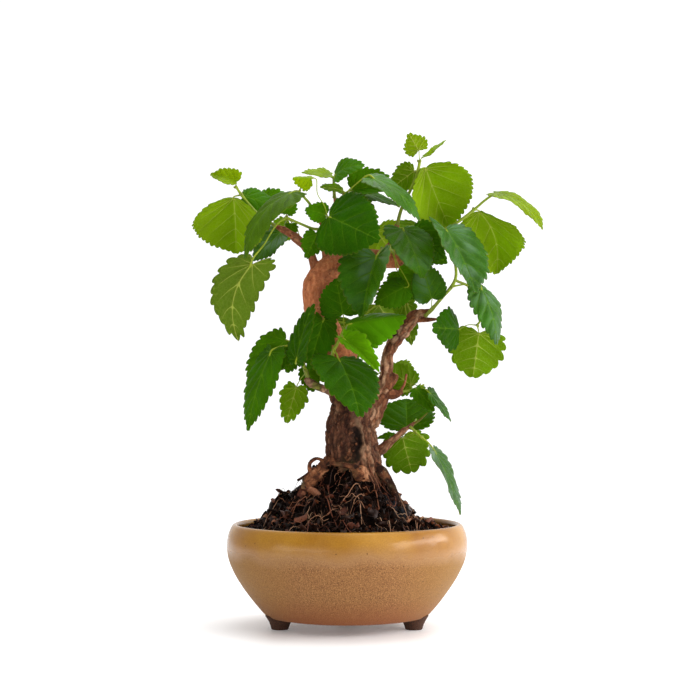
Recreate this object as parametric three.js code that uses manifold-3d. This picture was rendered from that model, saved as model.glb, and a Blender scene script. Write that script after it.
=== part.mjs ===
// A mulberry bonsai: an old bent trunk with short branches, leafy green shoots, a mound of root-bound
// soil and a round glazed stoneware pot on three feet. Units are millimetres and +Z is up.
// The origin is the middle of the object's footprint box, on the surface that the pot stands on.
import * as THREE from "three";
import { mergeVertices } from "three/addons/utils/BufferGeometryUtils.js";
import Module from "manifold-3d";

const wasm = await Module();
wasm.setup();

// Driving dimensions of the pot
const footHeight = 6.5; // clearance under the pot's base
const potWidestRadius = 75; // at the shoulder
const lipRadius = 70; // at the top of the lip
const potHeight = 64; // from the surface to the lip
const wallThickness = 5;
const drainHoleRadius = 7;
const fitGap = 0.35; // between touching pieces

// Driving dimensions of the leaves
const bladeThickness = 0.7;
const midribDepth = 0.5; // below the lower face
const petioleRadius = 0.65;
const toothDepth = 0.05; // share of the leaf's length
const toothPitch = 5; // length of a leaf per tooth of a side, from 4 to 7 teeth

// The eye from which the sizes were read, as seen against the upright plane through the pot's axis
const eye = { across: 1.9, back: 1094, height: 152 };

// A point seen at (across, height) on the plane through the pot's axis, moved along the sight line to a depth.
function seen([across, depth, height]) {
  const stretch = (eye.back + depth) / eye.back;
  return new THREE.Vector3(
    eye.across + (across - eye.across) * stretch,
    depth,
    eye.height + (height - eye.height) * stretch,
  );
}

// A seeded random number between 0 and 1.
function randomFrom(seed) {
  let state = seed;
  return () => {
    state = (state * 1664525 + 1013904223) % 4294967296;
    return state / 4294967296;
  };
}

// A closed geometry as a solid, and a solid as a geometry.
function solidOf(geometry) {
  const plain = new THREE.BufferGeometry().setAttribute("position", geometry.getAttribute("position"));
  if (geometry.index) plain.setIndex(geometry.index);
  const merged = mergeVertices(plain, 1e-3);
  return new wasm.Manifold(
    new wasm.Mesh({
      numProp: 3,
      vertProperties: merged.attributes.position.array,
      triVerts: new Uint32Array(merged.index.array),
    }),
  );
}

function geometryOf(solid) {
  const mesh = solid.getMesh();
  const geometry = new THREE.BufferGeometry();
  geometry.setAttribute("position", new THREE.BufferAttribute(mesh.vertProperties, 3));
  geometry.setIndex(new THREE.BufferAttribute(mesh.triVerts, 1));
  geometry.computeVertexNormals();
  return geometry;
}

function joined(solids) {
  return wasm.Manifold.union(solids);
}

function closedGeometry(positions, triangles) {
  const geometry = new THREE.BufferGeometry();
  geometry.setAttribute("position", new THREE.Float32BufferAttribute(positions, 3));
  geometry.setIndex(triangles);
  return geometry;
}

// A round limb along a smooth curve, with a radius at each of its points and both ends closed.
// ridge(angle, along) is a share that the radius swells by.
function limb(points, radii, sides, steps, ridge = () => 0) {
  const curve = new THREE.CatmullRomCurve3(points, false, "catmullrom", 0.5);
  const frames = curve.computeFrenetFrames(steps, false);
  const positions = [];
  for (let i = 0; i <= steps; i++) {
    const along = i / steps;
    const place = curve.getUtoTmapping(along) * (points.length - 1);
    const before = Math.min(Math.floor(place), points.length - 2);
    const radius = THREE.MathUtils.lerp(radii[before], radii[before + 1], place - before);
    const centre = curve.getPointAt(along);
    for (let j = 0; j < sides; j++) {
      const angle = (2 * Math.PI * j) / sides;
      const reach = radius * (1 + ridge(angle, along));
      const point = centre
        .clone()
        .addScaledVector(frames.normals[i], reach * Math.cos(angle))
        .addScaledVector(frames.binormals[i], reach * Math.sin(angle));
      positions.push(point.x, point.y, point.z);
    }
  }
  const triangles = [];
  for (let i = 0; i < steps; i++) {
    for (let j = 0; j < sides; j++) {
      const a = i * sides + j;
      const b = i * sides + ((j + 1) % sides);
      triangles.push(a, b, a + sides, b, b + sides, a + sides);
    }
  }
  const last = steps * sides;
  for (let j = 1; j < sides - 1; j++) {
    triangles.push(0, j + 1, j, last, last + j, last + j + 1);
  }
  return closedGeometry(positions, triangles);
}

// Half of a leaf's outline, [across, along] as shares of its length: from the notch at the petiole,
// round the lobe, to the tip. The third value is how much further across a leaf with a round tip is there.
const halfOutline = [
  [0.0, 0.0, 0.0],
  [0.07, -0.06, 0.0],
  [0.17, -0.1, 0.0],
  [0.3, -0.085, 0.0],
  [0.41, -0.01, 0.0],
  [0.475, 0.11, 0.0],
  [0.495, 0.25, 0.0],
  [0.48, 0.4, 0.015],
  [0.43, 0.55, 0.05],
  [0.35, 0.69, 0.09],
  [0.245, 0.81, 0.125],
  [0.125, 0.915, 0.125],
  [0.0, 1.0, 0.0],
];
function outlineCurve(round = 0) {
  return new THREE.SplineCurve(
    halfOutline.map(([across, along, wider]) => new THREE.Vector2(across + round * wider, along)),
  );
}
const outlineWidth = 0.99; // share of the length that this outline is wide

// The points of half an outline with its teeth, each rising slowly towards the tip and dropping back.
// The notch and the tip aren't among them.
function toothedHalf(teeth, outline) {
  const firstNotch = 0.12;
  const step = (1 - firstNotch) / teeth;
  const points = [];
  for (let k = 0; k < teeth; k++) {
    const notch = firstNotch + k * step;
    const place = Math.min(notch + 0.7 * step, 0.985);
    const point = outline.getPointAt(place);
    const heading = outline.getTangentAt(place);
    const height = toothDepth * (k === teeth - 1 ? 0.5 : 1);
    points.push(outline.getPointAt(notch));
    points.push(new THREE.Vector2(point.x + heading.y * height, point.y - heading.x * height));
  }
  return points;
}

// The frame of a leaf: its length, its directions and where a flat point of it goes once it is swayed
// sideways, folded along the midrib and bent along its length. turn is how far the upper face is
// turned about the midrib from facing the eye; past 90 degrees the underside shows.
function leafShape({ junction, tip, width, turn = 0, bend = 20, fold = 8, sway = 0, wave = 0.6 }) {
  const start = seen(junction);
  const chord = seen(tip).sub(start);
  const halfBend = THREE.MathUtils.degToRad(bend / 2) || 1e-6;
  const length = (chord.length() * halfBend) / Math.sin(halfBend);
  const along = chord.clone().normalize();
  const up = new THREE.Vector3(eye.across, -eye.back, eye.height).sub(start);
  up.addScaledVector(along, -up.dot(along)).normalize();
  up.applyAxisAngle(along, THREE.MathUtils.degToRad(turn));
  const across = along.clone().cross(up);
  const foldAngle = THREE.MathUtils.degToRad(fold);
  const widthShare = width / (outlineWidth * length);
  const bow = length / (2 * halfBend);

  function place(x, y, lift) {
    const side = x * length * widthShare;
    const heading = halfBend - 2 * halfBend * y;
    const ripple = wave * Math.cos(9 * y + 2 * Math.sign(x) + width) * (2 * x) ** 2;
    const raised = Math.abs(side) * Math.sin(foldAngle) + ripple;
    const swayed = sway * 4 * y * (1 - y);
    const normal = new THREE.Vector3(
      -Math.sign(x) * Math.sin(foldAngle),
      -Math.sin(heading) * Math.cos(foldAngle),
      Math.cos(heading) * Math.cos(foldAngle),
    );
    const flat = new THREE.Vector3(
      side * Math.cos(foldAngle) + swayed,
      bow * (Math.sin(halfBend) - Math.sin(heading)) - raised * Math.sin(heading),
      bow * (Math.cos(heading) - Math.cos(halfBend)) + raised * Math.cos(heading),
    ).addScaledVector(normal, lift);
    return start
      .clone()
      .addScaledVector(across, flat.x)
      .addScaledVector(along, flat.y)
      .addScaledVector(up, flat.z);
  }
  const size = petioleRadius * THREE.MathUtils.clamp(length / 30, 0.8, 1.1);
  return { start, along, across, up, length, place, size, notch: size / (length * widthShare) };
}

// A leaf as a thin closed solid: each half of the blade is a strip of triangles between the midrib and the
// toothed edge, and the petiole, a square tube, grows out of the notch as far as the stem.
function leafSolid(leaf, from) {
  const shape = leafShape(leaf);
  const teeth = THREE.MathUtils.clamp(Math.round(shape.length / toothPitch), 4, 7);
  const half = toothedHalf(teeth, outlineCurve(leaf.round));
  const flat = [];
  const corner = (x, y) => flat.push([x, y]) - 1;
  const notches = [corner(shape.notch, 0), corner(-shape.notch, 0)];
  const midrib = [0.16, 0.4, 0.66, 1].map((y) => corner(0, y));
  const tip = midrib[midrib.length - 1];
  const edges = [1, -1].map((side, which) => {
    const inner = half.map((point) => corner(side * point.x, point.y));
    return [notches[which], ...inner, tip];
  });
  const face = [notches[1], notches[0], midrib[0]];
  edges.forEach((edge, which) => {
    let m = 0;
    let e = 0;
    while (m < midrib.length - 1 || e < edge.length - 1) {
      const midribLeft = m < midrib.length - 1;
      const edgeLeft = e < edge.length - 1;
      const onEdge = edgeLeft && (!midribLeft || flat[edge[e + 1]][1] <= flat[midrib[m + 1]][1]);
      const corners = [midrib[m], edge[e], onEdge ? edge[e + 1] : midrib[m + 1]];
      if (onEdge) e++;
      else m++;
      if (new Set(corners).size < 3) continue;
      face.push(...(which === 0 ? corners : [corners[0], corners[2], corners[1]]));
    }
  });

  const count = flat.length;
  const positions = [];
  for (const lift of [bladeThickness / 2, -bladeThickness / 2]) {
    flat.forEach(([x, y]) => {
      const rib = lift < 0 && Math.abs(x) <= shape.notch && y < 1 ? midribDepth : 0;
      positions.push(...shape.place(x, y, lift - rib).toArray());
    });
  }
  const triangles = [];
  for (let i = 0; i < face.length; i += 3) {
    const [a, b, c] = face.slice(i, i + 3);
    triangles.push(a, b, c, count + a, count + c, count + b);
  }
  const rim = [...edges[0], ...edges[1].slice(0, -1).reverse()];
  for (let i = 0; i < rim.length - 1; i++) {
    const [a, b] = [rim[i], rim[i + 1]];
    triangles.push(a, count + a, b, b, count + a, count + b);
  }

  // The petiole's rings run back from the notch. Corners: right top, left top, left bottom, right bottom.
  const reach = from.distanceTo(shape.start);
  const middle = from.clone().lerp(shape.start, 0.5);
  middle.z += 0.1 * reach;
  const bends = leaf.via ? leaf.via.map(seen) : [middle];
  const neck = shape.place(0, 0, -midribDepth / 2).addScaledVector(shape.along, -0.12 * reach);
  const curve = new THREE.CatmullRomCurve3([neck, ...bends.reverse(), from], false, "catmullrom", 0.5);
  let ring = [notches[0], notches[1], count + notches[1], count + notches[0]];
  const side = shape.across.clone();
  const steps = leaf.via ? 4 : reach > 7 ? 2 : 1;
  for (let i = 0; i <= steps; i++) {
    const heading = curve.getTangentAt(i / steps);
    side.addScaledVector(heading, -side.dot(heading)).normalize();
    const over = side.clone().cross(heading).negate();
    const centre = curve.getPointAt(i / steps);
    const next = [[1, 1], [-1, 1], [-1, -1], [1, -1]].map(([right, top]) => {
      const point = centre.clone();
      point.addScaledVector(side, right * shape.size);
      point.addScaledVector(over, top * shape.size);
      return positions.push(...point.toArray()) / 3 - 1;
    });
    for (let k = 0; k < 4; k++) {
      const after = (k + 1) % 4;
      triangles.push(ring[after], next[after], next[k], ring[after], next[k], ring[k]);
    }
    ring = next;
  }
  triangles.push(ring[0], ring[1], ring[2], ring[0], ring[2], ring[3]);
  return solidOf(closedGeometry(positions, triangles));
}

// A leafy shoot in one piece: its stem, petioles and blades.
function shootSolid({ stem, thickness, leaves }) {
  const points = stem.map(seen);
  const radii = points.map((_, i) => thickness * (1 - (0.3 * i) / points.length));
  const path = new THREE.CatmullRomCurve3(points, false, "catmullrom", 0.5);
  const solids = [solidOf(limb(points, radii, 5, points.length - 1))];
  for (const leaf of leaves) {
    solids.push(leafSolid(leaf, path.getPointAt(leaf.at ?? 0.98)));
  }
  return joined(solids);
}

// The leafy shoots. Points are [across, depth, height] as seen from the eye; at is the share of the
// stem from which a petiole grows.
const shoots = {
  upper_left: {
    stem: [[-46, -3, 250.5], [-54, -1, 255.5], [-62, 1, 264], [-67, 1, 270.5], [-69.8, 1, 275]],
    thickness: 1.1,
    leaves: [
      { junction: [-69.5, 0, 277.5], tip: [-85.5, 5, 282.3], width: 16, turn: 45, fold: 25, bend: 10 },
      { at: 0.8, junction: [-71, 4, 267.3], tip: [-69.5, 26, 232], width: 61, turn: 194, fold: -42, bend: 30 },
      { at: 0.82, junction: [-64, 6, 268], tip: [-43, 9, 261.5], width: 19, turn: -38, fold: -10 },
      { at: 0.3, via: [[-53.5, 8, 253.5]], junction: [-52, 19, 261.5], tip: [-36, 24, 268.5], width: 21, turn: -25 },
    ],
  },
  upper_left_long: {
    stem: [[-20.7, 3, 259.7], [-24, 0, 264.5], [-28, -4, 269], [-30, -8, 271.5]],
    thickness: 1.0,
    leaves: [
      { junction: [-34.5, -14, 270.7], tip: [-63.5, -28, 229.5], width: 29, turn: 58, fold: -12, bend: 70 },
    ],
  },
  left_hanging: {
    stem: [[-17.1, 4, 247.6], [-22, 1, 248.2], [-30, -2, 251.5], [-38.5, -4, 255.2]],
    thickness: 1.0,
    leaves: [
      {
        via: [[-44.5, -8, 250], [-52, -10, 238]],
        junction: [-59, -9, 226],
        tip: [-67.5, -2, 176.8],
        width: 32,
        turn: 180,
        fold: 15,
        sway: -8,
      },
      { at: 0.9, junction: [-41.5, 13, 245.5], tip: [-59, 15, 227.5], width: 25, turn: 52, fold: 5, bend: 12 },
      { at: 0.95, junction: [-37.5, -2, 257.5], tip: [-33.5, 2, 267.5], width: 10, turn: -15 },
      { at: 0.8, junction: [-35, 0, 251], tip: [-34.5, 4, 243.3], width: 8 },
    ],
  },
  upper_front: {
    stem: [[-13.8, 2.8, 251.3], [-12, -7, 252.5], [-11.5, -14, 254.5]],
    thickness: 1.1,
    leaves: [
      { junction: [-11, -19, 255.5], tip: [20.5, -42, 240.5], width: 42, turn: -8, fold: -6, bend: 25 },
      {
        at: 0.8,
        via: [[-14, -16, 262], [-18.5, -16, 270]],
        junction: [-22.5, -15, 279.3],
        tip: [-34, -14, 279.6],
        width: 16,
        turn: 42,
        fold: -42,
        bend: 10,
      },
      { at: 0.5, junction: [-13.5, -8, 257], tip: [-26, -5, 260.3], width: 14.5, turn: 25, fold: 5 },
      { at: 0.3, junction: [-19, -7, 244.5], tip: [-25.5, -9, 229.7], width: 15 },
    ],
  },
  top_middle: {
    stem: [[-7.9, 6.6, 268.8], [-8.2, 5, 275], [-8.4, 4, 280.5]],
    thickness: 1.1,
    leaves: [
      { junction: [-10.5, 3, 282], tip: [-28.5, 0, 283.3], width: 15, turn: 70, fold: 5, bend: 15 },
      { junction: [-7, -5, 282], tip: [11, -11, 287.5], width: 18, turn: -50, fold: 0, bend: 65 },
    ],
  },
  top_broad: {
    stem: [[-4.4, 6.2, 258.5], [-5, 0, 262], [-3, -4, 267], [-1, -5, 270]],
    thickness: 1.0,
    leaves: [
      { junction: [4, 4, 272.3], tip: [31, 6, 275.5], width: 27, turn: -30, fold: 42, bend: 15 },
      { at: 0.9, junction: [4, 9, 271], tip: [33.5, 9, 261.3], width: 18, turn: -70, fold: 0, bend: 25 },
      { junction: [15.5, -19, 280], tip: [45, -22, 253.5], width: 27, turn: -66, fold: -4, bend: 50 },
      { junction: [-3, -3, 272.5], tip: [-17, 1, 273.8], width: 13, turn: 115, fold: 0 },
      { at: 0.3, junction: [1, -12, 262.5], tip: [17, -17, 243], width: 25 },
    ],
  },
  top_right: {
    stem: [[31.6, 7, 251.2], [34, 5, 260], [38, 3, 268.5], [43, 3, 279.5], [45, 3, 287], [45.7, 3, 291]],
    thickness: 1.2,
    leaves: [
      { junction: [44.8, 3, 297.2], tip: [38.8, 5, 307.4], width: 16, turn: 180, fold: 15 },
      { junction: [48.5, -4, 293.8], tip: [62, -10, 304], width: 11, turn: -76, fold: 0, bend: -10 },
      { at: 0.85, junction: [49.3, 6, 285.7], tip: [64.7, 28, 247.7], width: 57, turn: 166, fold: -42, bend: 25 },
      { at: 0.82, junction: [42, 10, 284], tip: [28, 11, 273.5], width: 18, turn: 180, fold: 10 },
    ],
  },
  right_arching: {
    stem: [[58.8, 9, 246.9], [65, 9, 249.5], [72, 8, 254], [80, 7, 260.3], [86, 6, 265.5], [91.5, 5, 269.5]],
    thickness: 1.1,
    leaves: [
      { at: 0.6, junction: [83, 15, 258.4], tip: [93.5, 40, 219], width: 55, turn: 184, fold: -44, sway: 5, bend: 40 },
      { junction: [93.5, 4.5, 270.3], tip: [122.8, -2, 247], width: 26, turn: -73, fold: 0, bend: 62 },
    ],
  },
  right_spray: {
    stem: [[50, -4.9, 194.3], [54, -7, 198.5], [60, -8, 205.5], [66, -9, 212.5], [68.3, -10, 220], [66.5, -10, 232],
      [63, -10, 243]],
    thickness: 1.2,
    leaves: [
      { junction: [62, -12, 247.5], tip: [80.5, -38, 207.7], width: 40, turn: -54, fold: 14, bend: 20 },
      { at: 0.42, junction: [83.6, -11, 211], tip: [93.8, -20, 175.5], width: 25, turn: -48, fold: -18, bend: 38 },
      { at: 0.08, junction: [53, -9, 204.5], tip: [46.5, -13, 227], width: 22, turn: 0, fold: 5, bend: 15 },
    ],
  },
  right_low_spray: {
    stem: [[68.9, -8.3, 215.2], [77, -5, 211], [83, -4, 200], [84, -3, 192], [81, -3, 187]],
    thickness: 0.9,
    leaves: [
      { junction: [82.5, -2, 182.5], tip: [78.6, 14, 154.7], width: 34, turn: 180, bend: 15, round: 0.9 },
      { junction: [69.5, -9, 185], tip: [53.8, -27, 186], width: 27, turn: 8, fold: -12, bend: 25 },
    ],
  },
  stump_front: {
    stem: [[29, -2.1, 232.9], [26, -10, 236.3], [22.5, -17, 235.3]],
    thickness: 1.1,
    leaves: [
      { junction: [18.5, -26, 230.5], tip: [9.5, -38, 192.7], width: 40, turn: 34, fold: 32 },
      { at: 0.5, junction: [35, -13, 247.5], tip: [47, -36, 216.7], width: 31, turn: -35, fold: 0, bend: 25 },
      { at: 0.3, junction: [32, -3, 221], tip: [43, -5, 203.5], width: 19 },
      { at: 0.2, junction: [36, -12, 211.5], tip: [17.5, -14, 201], width: 20, turn: 15, fold: -15 },
    ],
  },
  crown_right: {
    stem: [[45.6, 5.9, 240.7], [44.5, 1, 244], [42.5, -3, 247]],
    thickness: 1.0,
    leaves: [
      { junction: [42, -3.6, 246.2], tip: [60.3, -0.6, 229.2], width: 24, turn: -15, fold: 5 },
      { at: 0.3, junction: [49, 6, 236.5], tip: [63, 6, 226], width: 14 },
    ],
  },
  centre: {
    stem: [[-9.2, -8.7, 167.5], [-8.5, -14, 171.5], [-5, -18, 178], [-1.5, -20, 186]],
    thickness: 1.2,
    leaves: [
      { junction: [1.5, -25, 188.3], tip: [37.5, -29, 193], width: 36, turn: -40, fold: -40, bend: 15 },
      { junction: [-2.5, -12, 194.5], tip: [-7, -10, 217], width: 27 },
      { at: 0.7, junction: [-2, -31, 179.3], tip: [20.5, -41, 157.7], width: 18, turn: -36, fold: 36, wave: 1 },
      { at: 0.3, junction: [-5, -21, 166], tip: [8, -48, 130.3], width: 44, turn: -38, fold: 0, bend: 25 },
    ],
  },
  left_cluster: {
    stem: [[-24.9, -3, 156.2], [-28, -4, 165], [-33, -5, 172], [-35, -6, 178], [-30, -9, 186]],
    thickness: 1.2,
    leaves: [
      { junction: [-15, -12, 190.5], tip: [-24, -14, 160], width: 21, turn: -5 },
      { at: 0.68, junction: [-38.5, -3, 178], tip: [-62.5, 2, 151], width: 26, turn: 25, fold: 0, bend: 30 },
      { at: 0.62, junction: [-47.5, -12, 170.5], tip: [-61.7, -20, 121.3], width: 26, turn: 46, fold: -10, bend: 25 },
      { at: 0.25, junction: [-34, 1, 171], tip: [-37.5, 4, 157.5], width: 13 },
      { at: 0.12, junction: [-31.5, -24, 166], tip: [-20.5, -24, 201.5], width: 20, turn: -52, fold: 5 },
      { at: 0.05, junction: [-31.5, 5, 148.7], tip: [-38, 7, 126.3], width: 17.5, turn: 180, fold: 12 },
      { at: 0.1, junction: [-24, 9, 161], tip: [-21, 11, 145.5], width: 14 },
    ],
  },
  right_knot: {
    stem: [[35.5, -3, 146.2], [41, -3.5, 147.3], [46, -4, 149.3], [48.3, -4, 150.4]],
    thickness: 0.9,
    leaves: [
      { at: 0.75, junction: [40, 3, 150], tip: [22.5, 10, 162.5], width: 19, turn: 180, fold: 5 },
      { at: 0.5, junction: [43.5, -7, 147.5], tip: [54.5, -10, 133.5], width: 12, turn: -30, fold: -10 },
      { at: 0.7, junction: [52, -12, 145], tip: [65, -4, 127.7], width: 20, turn: -74, fold: 0, bend: 15 },
    ],
  },
  low_right: {
    stem: [[40.5, -4.4, 123.1], [44.5, -6, 119.5], [46, -7, 117.8]],
    thickness: 0.9,
    leaves: [
      { junction: [55, -9, 108.5], tip: [71, -15, 68.6], width: 25, turn: -72, fold: 4, bend: 15 },
      { at: 0.4, junction: [34.7, 1, 117.5], tip: [40.3, 6, 95.7], width: 30, turn: 180, fold: 5, bend: 15, round: 0.8 },
      { at: 0.4, via: [[38, 1, 117.5]], junction: [29, 9, 119], tip: [17.8, 12, 116.3], width: 7, turn: 60 },
    ],
  },
  twig_end: {
    stem: [[42.5, -1.7, 127.3], [43, 2.5, 128.5], [41, 5, 126]],
    thickness: 0.8,
    leaves: [
      { junction: [37.5, 7, 123.5], tip: [37, 30, 142], width: 35, bend: 20 },
    ],
  },
  behind_branch: {
    stem: [[40.6, 2.8, 191.6], [39, 5, 197], [37.5, 6, 201]],
    thickness: 0.8,
    leaves: [
      { junction: [36, 7, 201.5], tip: [40.5, 9, 174.5], width: 15, turn: 180 },
    ],
  },
  back_upper_left: {
    stem: [[-14.1, 34.2, 221.3], [-11, 39, 224], [-8, 43, 226]],
    thickness: 1.0,
    leaves: [
      { junction: [-5, 46, 224], tip: [-6, 64, 196], width: 30, turn: 180 },
      { at: 0.3, via: [[-20.5, 38, 226], [-28, 39, 239]], junction: [-36, 42, 250], tip: [-50, 50, 240], width: 17, turn: 170 },
    ],
  },
  back_top: {
    stem: [[2, 36.3, 246.7], [4, 38, 250], [8, 40, 253]],
    thickness: 1.0,
    leaves: [
      { junction: [7, 45, 251], tip: [2, 66, 228], width: 30, turn: 170 },
      { junction: [18, 38, 246.5], tip: [31, 56, 229.5], width: 29, turn: 195 },
      { at: 0.5, junction: [3, 33, 256], tip: [-5, 20, 265], width: 17, turn: 60 },
    ],
  },
  back_right: {
    stem: [[44.4, 32.4, 250.6], [46, 38, 255], [48, 42, 261]],
    thickness: 1.0,
    leaves: [
      { at: 0.6, junction: [45, 46, 250.5], tip: [43, 66, 231], width: 31, turn: 180 },
      { junction: [52, 45, 267], tip: [66, 60, 260], width: 25, turn: -110 },
    ],
  },
  back_middle: {
    stem: [[6, 31, 184.2], [6, 35, 188], [5, 37, 191]],
    thickness: 1.0,
    leaves: [
      { junction: [4, 41, 189.5], tip: [2, 62, 164], width: 32, turn: 180 },
      { at: 0.5, junction: [-13, 36, 188], tip: [-25, 52, 171], width: 25, turn: 160 },
      { at: 0.5, junction: [20, 36, 200], tip: [30, 56, 183], width: 28, turn: 200 },
    ],
  },
  back_low: {
    stem: [[13, 30.4, 147.4], [12, 33, 151], [10, 35, 154]],
    thickness: 0.9,
    leaves: [
      { junction: [8, 38, 152], tip: [10, 56, 133], width: 24, turn: 180 },
      { at: 0.5, junction: [29, 32, 161], tip: [40, 50, 147], width: 21, turn: 195 },
    ],
  },
};

// The wood that grew in one piece: trunk, branches, twigs and roots, as [across, depth, height, radius].
const trunkSpine = [
  [4, 0, 80, 20],
  [4.5, 0, 98, 18],
  [2.8, 0, 110, 17],
  [2.4, 0, 124, 15.6],
  [2.8, 0, 138, 13],
  [-1, 0, 150, 11.5],
  [-4, 1, 163, 10],
  [-9, 2, 176, 9.3],
  [-15, 3, 189, 9],
  [-18.2, 3, 201, 9],
  [-18.2, 3, 212, 9.4],
  [-12, 3, 221, 9],
  [-1, 4, 226.5, 7.6],
  [12, 5, 228.5, 6.8],
  [23, 4, 229, 5.8],
  [35, 3, 228.5, 5.2],
];
const branches = [
  [[13, -1, 126, 8], [19, -2, 140, 6.4], [23.5, -2, 150, 4.6], [24.8, -2, 160, 4], [25.5, -2, 168, 4.1], [29, -2, 176, 4.3],
    [34, -2, 183, 4.3], [38.5, -2, 189, 4.3], [43, -2, 193.5, 4], [48, -2, 195.5, 2.6]],
  [[43, -2, 194, 2.6], [48, -3, 196, 1.8], [52, -3, 197.2, 1]],
  [[44, -2, 191.5, 2.4], [50, -2, 191, 1.5], [57, -2, 191.4, 0.7]],
  [[23, -3, 146, 3.2], [28, -4, 152, 2.6], [31, -4, 157, 1.9]],
  [[24, -2, 145, 3.4], [30, -3, 144.5, 2.8], [35, -3, 146, 1.3]],
  [[33, -4, 146, 1.1], [36, -4, 151, 0.8], [37.2, -4, 157, 0.8]],
  [[12, -2, 104, 5], [21, -3, 109.5, 3.1], [25, -3, 113, 2.5], [30, -3, 117, 2.2], [34.5, -3, 121, 2], [39.5, -3, 124.5, 1.4],
    [42.5, -3, 127, 0.9]],
  [[37, -3, 123, 1.1], [45, -3, 128, 0.7], [50.7, -3, 133.2, 0.5]],
  [[-2, -2, 141, 6], [-9, -3, 146, 3.4], [-14, -3, 147.5, 2.6], [-19, -3, 149.5, 2.4], [-23.5, -3, 152, 2.5], [-26, -3, 154.5, 2]],
  [[-17, 2, 214, 5], [-20.5, 1, 225, 2.6], [-23, 0, 233, 2.5], [-28, -1, 238.5, 2.8], [-33, -2, 243, 2.8], [-39, -3, 246.9, 2.4],
    [-45.5, -3, 250, 1.3]],
  [[-12, 4, 222, 4], [-13, 5, 236, 2.4], [-14, 5, 247, 2], [-17, 4, 254, 1.7], [-20.5, 3, 259, 1.3]],
  [[0, 5, 227, 3.5], [-2, 9, 240, 2.2], [-5, 9, 256, 1.8], [-7.8, 7, 268.3, 1.3]],
  [[22, 5, 229, 3], [28, 8, 240, 2], [31.5, 7.4, 250.7, 1.5]],
  [[28, 4, 229, 3], [42, 8, 239, 2], [52, 9, 244, 1.6], [58.5, 9, 246.6, 1.3]],
  [[-17, 6, 206, 4.5], [-18, 22, 214, 2.2], [-15, 34, 221, 1.5]],
  [[4, 6, 227, 3.5], [4, 24, 236, 2.2], [1.5, 35.6, 246, 1.4]],
  [[43, 8.5, 239, 1.9], [43, 21, 245, 1.7], [44, 32.2, 250.2, 1.2]],
  [[0, 6, 162, 4.5], [5, 20, 174, 2.4], [6, 31, 183.8, 1.5]],
  [[5, 8, 124, 5], [11, 22, 136, 2.4], [13.2, 30, 146.8, 1.4]],
];
const roots = [
  [[12, -6, 101, 5], [20.4, -11, 97, 3.2], [25.8, -13, 90, 2.6], [29.8, -15, 83, 2.2], [33, -18, 74, 1.8]],
  [[-9, -8, 101, 6], [-18, -13, 94, 4.6], [-23, -15, 88, 4.8], [-25, -16, 83, 3.8]],
  [[2, -12, 96, 5], [7, -16.5, 95, 5], [10, -17, 94, 4.2]],
  [[-15, -9, 102, 1.6], [-9, -15, 101, 1.4], [-1, -18, 100, 1.4], [6, -18.5, 98.5, 1.6]],
  [[-14, -9, 102.5, 1.3], [-19, -12, 104.3, 1.2], [-23, -13, 101.5, 1.2], [-23, -14, 96, 1.3], [-20, -13, 92, 1.4]],
  [[-20, -13, 98, 1.4], [-26, -14, 93.5, 1.1], [-31, -15, 90.5, 0.9]],
  [[2, 10, 100, 6], [4, 22, 92, 3.6], [8, 32, 80, 2.6], [10, 38, 68, 1.8]],
  [[-9, 6, 100, 6], [-20, 12, 92, 3.6], [-30, 18, 80, 2.6], [-36, 22, 68, 1.8]],
  [[14, 6, 100, 5], [23, 13, 90, 3.2], [31, 20, 78, 2.4], [36, 26, 66, 1.8]],
];

// The old wound in the front of the trunk, with its rolled edge.
const wound = { centre: [6.5, -17.5, 115], size: [4.6, 4.4, 10.5] };

function woodSolid(growth = 0) {
  const ridges = (angle, along) =>
    0.05 * Math.cos(5 * angle + 9 * along) + 0.035 * Math.cos(9 * angle - 14 * along);
  const tube = (line, sides, steps, ridge) =>
    solidOf(limb(line.map(seen), line.map((point) => point[3] + growth), sides, steps, ridge));
  const solids = [tube(trunkSpine, 12, 16, ridges)];
  for (const line of branches) {
    const thick = line[0][3] > 2.5;
    solids.push(tube(line, thick ? 6 : 4, line.length - 1));
  }
  for (const line of roots) solids.push(tube(line, line[0][3] > 2 ? 6 : 4, line.length - 1));
  const hollow = new THREE.SphereGeometry(1, 8, 6);
  hollow.scale(...wound.size.map((size) => size - growth));
  hollow.translate(...seen(wound.centre).toArray());
  return joined(solids).subtract(solidOf(hollow));
}

// The pot: a turned bowl with an incurved lip, its floor pierced by a drain hole, on three tapered feet.
const potSides = 40;
const outerProfile = [
  [48.5, footHeight],
  [52, 8.3],
  [60.5, 19],
  [68.6, 31],
  [73.4, 41.5],
  [potWidestRadius, 50],
  [74.2, 56.5],
  [72.6, 61.5],
  [lipRadius, potHeight],
];
const innerProfile = [
  [67.8, 62.8],
  [68.4, 57],
  [69.6, 48],
  [66, 36],
  [56, 20.5],
  [46, 11.5],
];
const floorHeight = footHeight + wallThickness;
const feet = { angles: [-70, 70, 180], ring: 43.8, topRadius: 8.3, bottomRadius: 5.2 };

function latheSolid(profile, sides) {
  const lathe = new THREE.LatheGeometry(
    profile.map(([r, z]) => new THREE.Vector2(r, z)),
    sides,
  );
  return lathe.rotateX(Math.PI / 2);
}

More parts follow.
